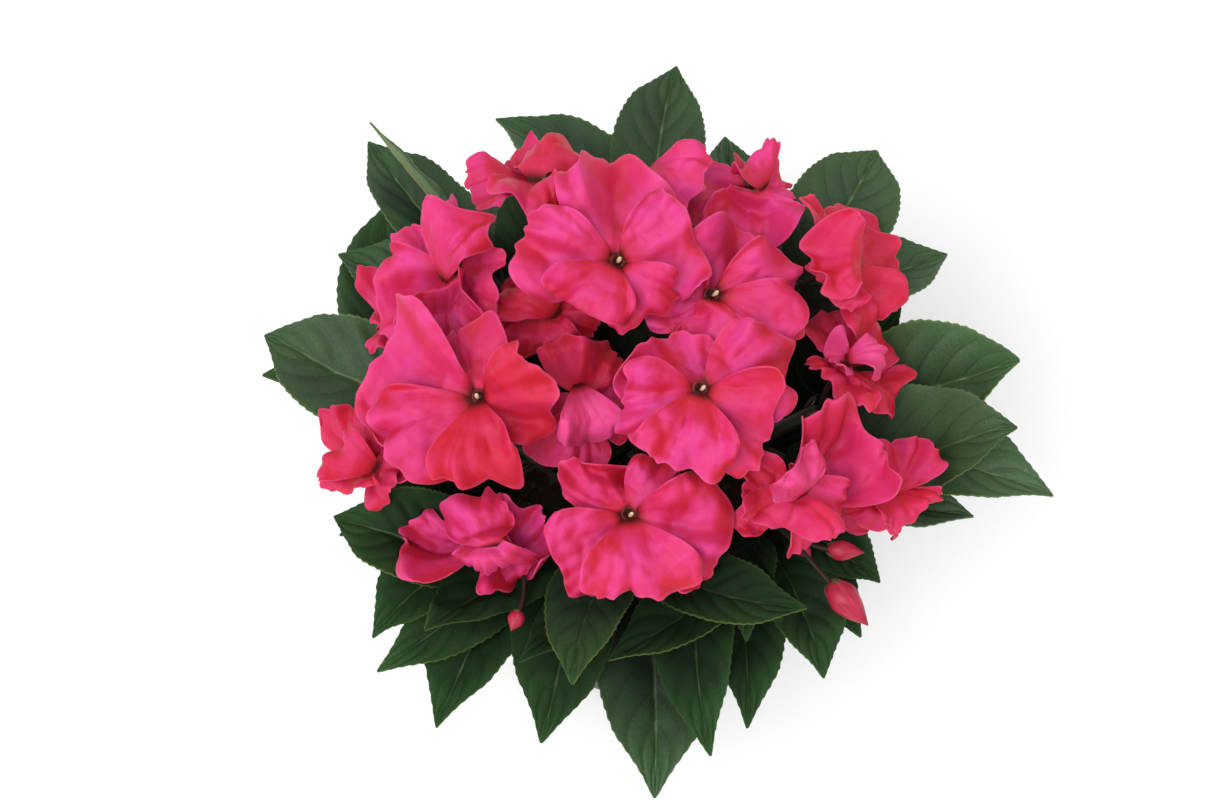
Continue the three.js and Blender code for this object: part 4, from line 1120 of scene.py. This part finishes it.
for number, (foot, way, length, radius, stem_name) in enumerate(BUDS, 1):
    axis = Vector(way).normalized()
    # Rings of points mark the place of the bud in both covers.
    ring = np.arange(24) * math.pi / 12
    for t in np.arange(0, 1.001, 0.05):
        p = np.array(foot) + np.array(axis) * length * t
        x, y = p[0] + radius * np.cos(ring), p[1] + radius * np.sin(ring)
        for cover in (broad, fine):
            mark(cover, x, y, np.full(24, p[2] - radius), BUD_OWNER + number)
    stand = Vector((0, 0, 1)).rotation_difference(axis)
    bpy.ops.mesh.primitive_uv_sphere_add(segments=36, ring_count=24, radius=1)
    drop = bpy.context.object
    for vertex in drop.data.vertices:
        t = math.acos(max(-1, min(1, -vertex.co.z))) / math.pi
        around = math.atan2(vertex.co.y, vertex.co.x)
        full = math.sin(math.pi * t**0.72) ** 0.8 * (1 - 0.35 * t**3)
        seam = ((around + 2.6 * t) % SEAM_TURN) / SEAM_TURN
        full *= 0.9 + 0.13 * seam**0.5 * math.sin(math.pi * t) ** 0.5
        out = radius * full
        spot = Vector((out * math.cos(around), out * math.sin(around), length * t))
        vertex.co = (Vector(foot) + stand @ spot) * MM
    drop.data.materials.append(bud_skin)
    bpy.ops.object.shade_smooth_by_angle(angle=math.radians(35))
    parts = [drop]
    for side in (-1, 1):
        bpy.ops.mesh.primitive_uv_sphere_add(segments=10, ring_count=8, radius=1)
        sepal = bpy.context.object
        for vertex in sepal.data.vertices:
            t = (vertex.co.z + 1) / 2
            flat = 0.5 * radius * vertex.co.x * (1 - 0.5 * t)
            over_bud = 0.62 * radius * math.sin(math.pi * min(1, t * 0.6 + 0.1))
            off = side * (0.3 + over_bud + 0.25 * vertex.co.y)
            spot = Vector((flat, off, length * SEPAL_LENGTH * t - 0.3))
            vertex.co = (Vector(foot) + stand @ spot) * MM
        sepal.data.materials.append(sepal_skin)
        bpy.ops.object.shade_smooth()
        parts.append(sepal)
    bud = joined(f"bud_{number}_petals", parts)
    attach(bud, "root")
    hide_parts(f"bud_{number}")

# ---------------------------------------------------------------- leafy stems
# Nine juicy stems, green flushed with red and thicker at the nodes. Each holds leaves at a lower
# node and a whorl at its top, and the dark red stalks of its flowers and buds. The leaves are
# pointed, finely toothed and quilted between sunken veins, with a pale rib.

SOIL_HOLD_Z = 62  # how deep a stem stands in the soil
TOP_NODE, LOWER_NODE, NODE_STEP = 0.985, 0.66, 0.03
# Along a stem, its thickness: it swells at both nodes.
STEM_SHARES = np.array([0, 0.25, 0.4, 0.52, 0.6, 0.65, 0.7, 0.8, 0.9, 0.95, 0.985, 1.01])
STEM_RADII = (3.1, 3.0, 2.8, 2.75, 3.0, 3.5, 3.0, 2.7, 2.8, 3.2, 3.3, 2.2)
STALK_RADIUS, BUD_STALK_RADIUS = 1.05, 0.85
HUB_DEPTH = 7  # how far behind its face a bloom is carried
# Name, foot on the plan, and top.
STEMS = [
    ("front", (-2, -15), (-5, -45, 146)),
    ("front_right", (12, -12), (42, -36, 147)),
    ("right", (18, 2), (61, 6, 148)),
    ("back_right", (12, 14), (48, 46, 152)),
    ("back", (-3, 18), (4, 60, 154)),
    ("back_left", (-16, 10), (-45, 45, 152)),
    ("left", (-18, -3), (-62, 4, 148)),
    ("front_left", (-13, -13), (-46, -38, 145)),
    ("middle", (1, 1), (-6, 6, 166)),
]
LEAF_THICKNESS = 0.55
PLAIN_FOLD, LEAF_FOLD = math.radians(15), math.radians(23)
LEAF_WAVE = 0.9
PLAIN_LEAF_ROWS = (0.02, 0.2, 0.4, 0.59, 0.77, 0.91, 1)
LEAF_CELLS = (72, 26)
TOOTH_DEPTH = 0.5
VEINS = 7
PETIOLE_SHARE = 0.15
LEAF_OWNER = 100
RIB_ROWS = [0, 6, 16, 28, 42, 56]  # rows of the sheet that the rib runs through
RIB_RADII = (1.35, 1.2, 1.1, 0.95, 0.75, 0.55, 0.42, 0.3)
FRONT_LEAF = 48  # the great leaf at the very front, in full light

# Stem, node (0 lower, 1 top), tip, greatest width, arch above the straight line, bow to the
# leaf's left, roll in degrees. The topmost come first.
LEAVES = [
    ("back_left", 1, (-98, 106, 178), 15, 6, 1, 72),
    ("middle", 1, (-24, 46, 171), 27, 5, -2, 0),
    ("middle", 1, (34, 26, 170), 27, 5, 2, 0),
    ("back", 1, (12, 134, 170), 36, 8, 3, 0),
    ("middle", 1, (24, -28, 167), 27, 5, -2, 0),
    ("front", 1, (54, -74, 164), 28, 8, -9, -2),
    ("middle", 1, (-33, -24, 166), 26, 5, 2, 0),
    ("back_right", 1, (84, 103, 163), 41, 11, -4, 6),
    ("right", 1, (129, -6, 161), 36, 10, -6, 4),
    ("front", 1, (-25, -100, 160), 31, 8, -4, 8),
    ("right", 1, (132, 22, 157), 40, 11, 3, 6),
    ("back_left", 1, (-100, 110, 157), 35, 10, 5, 10),
    ("front", 1, (-75, -79, 156), 34, 11, -8, 0),
    ("front_right", 1, (34, -82, 153), 19, 7, -2, 10),
    ("front", 1, (-43, -89, 152), 21, 6, 3, 6),
    ("front_right", 1, (-13, -88, 151), 30, 10, 7, 10),
    ("back_right", 1, (109, 67, 151), 34, 9, -4, -6),
    ("back", 1, (-54, 123, 151), 35, 9, -6, 6),
    ("back_right", 1, (30, 116, 150), 33, 8, 3, 8),
    ("left", 1, (-135, 35, 150), 45, 12, 4, -5),
    ("back_left", 1, (-110, 68, 149), 33, 9, 4, 8),
    ("front_left", 1, (-108, -34, 148), 36, 10, 9, -4),
    ("right", 1, (92, 48, 147), 34, 7, 3, 0),
    ("back_left", 1, (-38, 104, 146), 32, 8, 0, 0),
    ("left", 1, (-84, 100, 145), 38, 10, 20, -14),
    ("front_right", 1, (81, -56, 142), 23, 8, 3, 4),
    ("right", 1, (143, -23, 141), 37, 12, 4, -6),
    ("front_left", 1, (-94, -75, 138), 30, 8, -4, 8),
    ("front_right", 1, (61, -89, 136), 32, 9, 3, -12),
    ("left", 0, (-137, 27, 134), 45, 10, -5, 7),
    ("right", 0, (116, -27, 132), 38, 10, -5, -8),
    ("front_right", 0, (22, -115, 130), 32, 11, -7, 12),
    ("front_right", 0, (75, -71, 128), 29, 8, 4, 0),
    ("front_left", 0, (-36, -109, 126), 40, 10, 5, 4),
    ("front_left", 0, (-93, -83, 126), 30, 9, 5, -12),
    ("front_left", 0, (-72, -103, 126), 38, 10, -5, 6),
    ("back", 0, (-30, 110, 126), 36, 10, 2, 0),
    ("left", 0, (-104, -8, 126), 32, 8, 4, 6),
    ("front_right", 0, (35, -103, 124), 30, 9, 4, -10),
    ("left", 0, (-108, -31, 124), 30, 9, 4, 10),
    ("back_left", 0, (-70, 44, 134), 44, 5, 0, 0),
    ("right", 0, (74, -30, 134), 42, 5, 0, 0),
    ("back_right", 0, (50, 104, 122), 36, 10, 0, 0),
    ("right", 0, (98, 48, 120), 36, 9, 4, 6),
    ("left", 0, (-104, 53, 120), 34, 9, -4, 0),
    ("back_right", 0, (84, 78, 119), 35, 10, 4, -5),
    ("back_left", 0, (-54, 112, 120), 38, 11, 4, 0),
    ("back", 0, (12, 114, 118), 35, 12, -2, 5),
    ("front", 0, (3, -126, 118), 45, 14, 3, 0),
    ("middle", 0, (35, -11, 130), 32, 5, 2, 0),
    ("middle", 0, (16, 34, 132), 32, 5, 2, 0),
    ("middle", 0, (-27, 28, 130), 36, 5, 2, 0),
    ("middle", 0, (-31, -15, 130), 32, 5, 2, 0),
    ("middle", 0, (12, -35, 130), 32, 5, 2, 0),
]
# Leaves painted lighter, as painted light for the light and sheen that they catch at the outside
# of the plant, and those whose rim is yellow-green, by their place in the list.
LEAVES_PAINTED_LIGHTER = {
    0: 1.0, 3: 0.25, 7: 0.4, 8: 0.45, 9: 0.5, 10: 0.5, 16: 0.3, 19: 0.3, 26: 0.45, 29: 0.5,
    30: 0.4,
}
BRIGHT_RIMS = {5: 1.0, 9: 0.9, 17: 0.6, 21: 0.5, 10: 0.5, 15: 0.7, 34: 0.6, 19: 0.5}


def stem_curve(foot, top):
    return (*foot, SOIL_HOLD_Z), (foot[0] * 1.25, foot[1] * 1.25, SOIL_TOP + 26), top


def bezier(points, t):
    """Points of a quadratic or cubic Bezier curve at the shares t."""
    points, t = [np.array(p, float) for p in points], np.asarray(t)[:, None]
    while len(points) > 1:
        points = [a * (1 - t) + b * t for a, b in zip(points, points[1:])]
    return points[0]


def stem_at(name, share):
    _, foot, top = next(row for row in STEMS if row[0] == name)
    return bezier(stem_curve(foot, top), [share])[0]


def leaf_plan(row, number):
    stem_name, at_node, tip, width, arch, bow, roll = row
    above = sum(1 for other in LEAVES[:number] if other[:2] == row[:2])
    seat = stem_at(stem_name, (TOP_NODE if at_node else LOWER_NODE) - NODE_STEP * above)
    end = np.array(tip, float)
    out = (end - seat) * (1, 1, 0)
    out /= np.linalg.norm(out)
    side = np.array([-out[1], out[0], 0])
    seat = seat + 0.8 * out
    middle = seat * 0.55 + end * 0.45 + np.array([0, 0, 2 * arch]) + side * 2 * bow
    return {
        "stem": stem_name, "seat": seat, "rib": (seat, middle, end), "side": side,
        "width": width, "roll": math.radians(roll), "number": number,
    }


def leaf_points(leaf, u, v, draw, relief, fold):
    """Points of the blade: u from foot to tip, v from 1 to -1 across it."""
    t = PETIOLE_SHARE + (1 - PETIOLE_SHARE) * u
    start, bend, end = leaf["rib"]
    along = (bend - start) * (1 - t[:, None]) + (end - bend) * t[:, None]
    along /= np.linalg.norm(along, axis=1)[:, None]
    flat_up = np.cross(along, leaf["side"])
    flat_up /= np.linalg.norm(flat_up, axis=1)[:, None]
    level = np.cross(flat_up, along)
    roll = (leaf["roll"] * ramp(u, 0, 0.5))[:, None]
    side = level * np.cos(roll) + flat_up * np.sin(roll)
    normal = flat_up * np.cos(roll) - level * np.sin(roll)
    oval = np.sin(math.pi * np.minimum(u, 1) ** 0.85) ** 0.75
    half = 0.5 * leaf["width"] * oval * (1 - 0.38 * ramp(u, 0.76, 0.95))
    half = np.maximum(0.35, half[:, None] * draw)
    wave = LEAF_WAVE * np.sin(7 * u + 6 * chance(leaf["number"])) * np.sin(math.pi * u)
    out = v * half * math.cos(fold)
    up = np.abs(v) * half * math.sin(fold) + v * wave[:, None] + relief
    rib = bezier(leaf["rib"], t)
    return rib[:, None] + out[..., None] * side[:, None] + up[..., None] * normal[:, None]


def leaf_relief(number, u, v):
    """The quilting between the side veins, the sunken midrib and the ripples at the edge."""
    line = VEINS * (u[:, None] - 0.2 * np.abs(v) - 0.08 * v * v)
    off = np.abs(line - np.round(line))
    inside = ramp(np.abs(v), 0.0, 0.15) * (1 - np.abs(v) ** 6) * np.sin(math.pi * u[:, None]) ** 0.5
    relief = inside * (0.45 - 1.15 * np.exp(-((off / 0.17) ** 2)))
    relief = relief - 0.5 * np.exp(-((v / 0.07) ** 2)) * ramp(u, 1, 0.8)[:, None]
    ripple = np.sin(19 * u + 6 * chance(number + 60))[:, None] * np.sign(v)
    ripple = ripple + np.sin(23 * u + 6 * chance(number + 120))[:, None]
    return relief + 0.45 * ripple * np.abs(v) ** 3 * np.sin(math.pi * u[:, None])


def leaf_sheet(leaf):
    """The leaf blade, laid under all that is over it."""
    def from_seat(low, high):
        seat = leaf["seat"]
        return lambda p: ramp(np.hypot(p[..., 0] - seat[0], p[..., 1] - seat[1]), low, high)

    who = LEAF_OWNER + [row[0] for row in STEMS].index(leaf["stem"])
    plain_u = np.array(PLAIN_LEAF_ROWS)
    draw = np.where(np.arange(len(plain_u)) % 2, 1.04, 0.96)[:, None]
    plain = leaf_points(leaf, plain_u, np.array([[1.0, 0.0, -1.0]]), draw, 0, PLAIN_FOLD)
    press = broad_press(plain, who, from_seat(7, 13), from_seat(4, 8))
    u = np.linspace(0.02, 1, LEAF_CELLS[0] + 1)
    v = np.linspace(1, -1, LEAF_CELLS[1] + 1)[None, :]
    # Every third row starts a new tooth.
    tooth = TOOTH_DEPTH * (np.arange(len(u)) % 3 / 2) * ramp(u, 0.08, 0.2) * ramp(u, 1.0, 0.93)
    half = np.maximum(1, 0.5 * leaf["width"] * np.sin(math.pi * u**0.85) ** 0.75)
    draw = 1 + (tooth / half)[:, None] * np.abs(v) ** 8
    sheet = leaf_points(leaf, u, v, draw, leaf_relief(leaf["number"], u, v), LEAF_FOLD)
    sheet[..., 2] -= carried(press, PLAIN_LEAF_ROWS, u, -v[0])
    return lay(sheet, LEAF_THICKNESS, who, from_seat(8, 15), from_seat(5, 10))


def shade_of(sheet, at_node, number):
    """How deep in the shade of the plant each point of a leaf lies, from 0 to 1."""
    x, y = sheet[..., 0], sheet[..., 1]
    under_dome = ramp(-np.hypot(x + 2, (y - 6) * 1.1), -99, -74)
    at_front = ramp(-y, 10, 50) * 0.85 * ramp(-np.hypot(x + 8, y), -124, -76)
    dusk = 0.3 * chance(number + 33) + (0 if at_node else 0.1)
    return np.maximum(np.maximum(under_dome, at_front), 0 if number == FRONT_LEAF else dusk)


# The veins on a leaf's own map: how near a place is to the midrib, to a side vein, to the rim,
# to the fine net between them, and to the outer parts, which are painted lighter as painted light.
outputs = ["Midrib", "Side Veins", "Rim", "Net", "Outer Light"]
veins, _, veins_out = new_group("leaf_veins", {}, outputs)
apart = node(veins, "SeparateXYZ", _0=node(veins, "UVMap").outputs[0])
off_rib = maths(veins, "ABSOLUTE", maths(veins, "SUBTRACT", apart.outputs[0], 0.5))
across = maths(veins, "MULTIPLY", off_rib, 2.0)
along = maths(veins, "MULTIPLY_ADD", apart.outputs[1], 0.98, 0.02)
squared = maths(veins, "MULTIPLY", across, across)
swept_on = maths(veins, "MULTIPLY_ADD", squared, 0.08, maths(veins, "MULTIPLY", across, 0.2))
line = maths(veins, "MULTIPLY", maths(veins, "SUBTRACT", along, swept_on), float(VEINS))
near_line = spread_of(veins, maths(veins, "PINGPONG", line, 0.5), 0.09, 0.0)
cells = {"feature": "DISTANCE_TO_EDGE"}
net = node(veins, "TexVoronoi", cells, Vector=place_in(veins), Scale=520.0)
feed(
    veins, veins_out,
    _0=spread_of(veins, across, 0.04, 0.012),
    _1=maths(veins, "MULTIPLY", near_line, spread_of(veins, across, 1.0, 0.55)),
    _2=spread_of(veins, across, 0.96, 0.995),
    _3=spread_of(veins, net.outputs["Distance"], 0.0, 0.12),
    _4=maths(
        veins, "MAXIMUM", spread_of(veins, across, 0.5, 1.0), spread_of(veins, along, 0.65, 1.0)
    ),
)

LEAF_DARKNESS = (0.0015, 0.004, 0.0015, 1)
# Deep, light, pale and outer green, the last painted on the outer parts as painted light; then
# the side veins, the midrib and the rim.
TOP_GREENS = (
    (0.009, 0.033, 0.010, 1), (0.028, 0.078, 0.022, 1), (0.085, 0.15, 0.065, 1),
    (0.05, 0.125, 0.032, 1), (0.011, 0.031, 0.011, 1), (0.13, 0.2, 0.08, 1), (0.27, 0.4, 0.07, 1),
)
UNDER_GREENS = (
    (0.06, 0.12, 0.05, 1), (0.1, 0.18, 0.08, 1), (0.16, 0.22, 0.1, 1),
    (0.1, 0.19, 0.07, 1), (0.15, 0.2, 0.1, 1), (0.28, 0.22, 0.13, 1), (0.2, 0.28, 0.1, 1),
)


def leaf_finish(name, greens, roughness, specular=0.34):
    """A leaf's skin. tone makes a leaf paler, edging its rim brighter, inner puts it in shade.

    Its outer parts are painted lighter, as painted light.
    """
    deep, light, pale, outer_light, vein, rib, rim = greens
    material, tree, shader = finish_of(name, roughness, specular)
    lines = node(tree, "Group", {"node_tree": veins})
    skin = grained(tree, 55.0, 1700.0, 0.25)
    inner = attribute(tree, "inner")
    glow_rim = maths(tree, "MULTIPLY_ADD", attribute(tree, "edging"), 0.36, 0.1)
    colour = tinted(
        tree, mixed(tree, skin.outputs["Patches"], deep, light),
        (attribute(tree, "tone"), 0, 1, 1, pale),
        # Painted light: the outer parts of the leaf are made lighter.
        (lines.outputs["Outer Light"], 0, 1, 0.4, outer_light),
        (lines.outputs["Net"], 1, 0, 0.25, deep),
        (lines.outputs["Side Veins"], 0, 1, 0.55, vein),
        (lines.outputs["Midrib"], 0, 1, 0.85, rib),
        (maths(tree, "MULTIPLY", lines.outputs["Rim"], glow_rim), 0, 1, 1, rim),
        (inner, 0, 1, 0.94, LEAF_DARKNESS),
    )
    raised = node(
        tree, "Bump", Strength=0.16, Distance=0.0004, Height=lines.outputs["Net"],
        Normal=skin.outputs["Normal"],
    )
    matt = spread_of(tree, skin.outputs["Grain"], 0.3, 0.7, roughness - 0.06, roughness + 0.1)
    matt = maths(tree, "MULTIPLY_ADD", inner, 0.35, matt)
    feed(tree, shader, Base_Color=colour, Roughness=matt, Normal=raised.outputs[0])
    return material


leaf_top = leaf_finish("leaf_green", TOP_GREENS, 0.46)
# A shaded copy of the same green, with little shine, as painted shade for leaves in the plant's
# shade.
leaf_shaded = leaf_finish("leaf_shaded_green", TOP_GREENS, 0.46, 0.1)
leaf_under = leaf_finish("leaf_underside", UNDER_GREENS, 0.6)

HIGH_PAINTED_SHADE = (0.006, 0.006, 0.003, 1)  # high up among the flowers the stalks are painted near black, as painted shade


def stem_finish(name, green, red, reddest, roughness=0.33, specular=0.5):
    """A juicy stalk: green flushed with red in long patches, faintly ribbed and glossy.

    High up among the flowers it is painted near black, as painted shade.
    """
    material, tree, shader = finish_of(name, roughness, specular)
    long_map = node(tree, "Mapping", _0=place_in(tree), _3=(1.0, 1.0, 0.25))
    flush = node(tree, "TexNoise", Vector=long_map.outputs[0], Scale=130.0, Detail=4.0)
    skin = grained(tree, 150.0, 1800.0, 0.2)
    colour = tinted(
        tree, mixed(tree, spread_of(tree, flush.outputs[0], 0.4, 0.62), green, red),
        (skin.outputs["Patches"], 0, 1, reddest, red),
        # Painted shade: near black high up, where the flowers shade the stalks.
        (height_in(tree), 0.09, 0.12, 0.85, HIGH_PAINTED_SHADE),
    )
    feed(tree, shader, Base_Color=colour, Normal=skin.outputs["Normal"])
    return material


stem_skin = stem_finish("stem_green_red", (0.09, 0.15, 0.04, 1), (0.2, 0.035, 0.03, 1), 0.3)
petiole_skin = stem_finish("petiole_green", (0.12, 0.2, 0.06, 1), (0.22, 0.06, 0.04, 1), 0.15)
stalk_skin = stem_finish(
    "stalk_dark_red", (0.1, 0.06, 0.035, 1), (0.16, 0.018, 0.025, 1), 0.5, 0.55, 0.25
)

leaves_of = {name: [] for name, _, _ in STEMS}
for number, row in enumerate(LEAVES):
    stem_name, at_node, tip = row[:3]
    leaf = leaf_plan(row, number)
    sheet = leaf_sheet(leaf)
    inner = shade_of(sheet, at_node, number)
    # Painted light: the listed leaves are made paler; the others vary at random.
    tone = LEAVES_PAINTED_LIGHTER.get(number, 0.22 * chance(number + 7) * (1 if at_node else 0.6))
    # The leaves of the front and of the middle catch no shine, but for the one in full light.
    # They get a shaded copy of the green, as painted shade.
    is_shaded = (tip[1] < -28 or inner.mean() > 0.55) and number != FRONT_LEAF
    blade = thin_blade(
        sheet, LEAF_THICKNESS, leaf_shaded if is_shaded else leaf_top, leaf_under,
        tone=tone, edging=BRIGHT_RIMS.get(number, 0.0), inner=inner,
    )
    under_rib = sheet[:, LEAF_CELLS[1] // 2] - np.array([0, 0, 0.45])
    path = [*bezier(leaf["rib"], [0.0, 0.06]), *under_rib[RIB_ROWS]]
    leaves_of[stem_name] += [blade, rod(path, RIB_RADII, petiole_skin, 1)]

# What each stem's stalks carry: where a stalk ends, the way it points there, and its radius.
carried_by = {name: [] for name, _, _ in STEMS}
for flower, stem_name in flowers:
    end = placed(flower, 0, 0.6, -HUB_DEPTH + 0.4)
    carried_by[stem_name].append((end, flower["face"], STALK_RADIUS))
for foot, way, _, _, stem_name in BUDS:
    way = np.array(Vector(way).normalized())
    carried_by[stem_name].append((np.array(foot) + 0.4 * way, way, BUD_STALK_RADIUS))


def stalk(start, end, way, radius):
    """A flower stalk that leaves its stem upwards and meets what it carries from behind."""
    out = (end - start) * (1, 1, 0)
    start = start + 1.2 * out / np.linalg.norm(out) - (0, 0, 2)
    rise = 0.45 * np.linalg.norm(end - start)
    curve = [start, start + (0, 0, rise), end - way * rise * 0.8, end]
    shares = np.linspace(0, 1, 8)
    radii = radius * (1 + 0.35 * (1 - ramp(shares, 0, 0.15)) + 0.3 * ramp(shares, 0.85, 1))
    return rod(bezier(curve, shares), radii, stalk_skin, 2)


for name, foot, top in STEMS:
    stalks = [stalk(stem_at(name, 1), *ending) for ending in carried_by[name]]
    stem = rod(bezier(stem_curve(foot, top), STEM_SHARES), STEM_RADII, stem_skin, 3)
    leafy = joined(f"leafy_stem_{name}_plant", [*leaves_of[name], *stalks, stem])
    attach(leafy, "root")
    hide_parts(f"leafy_stem_{name}")
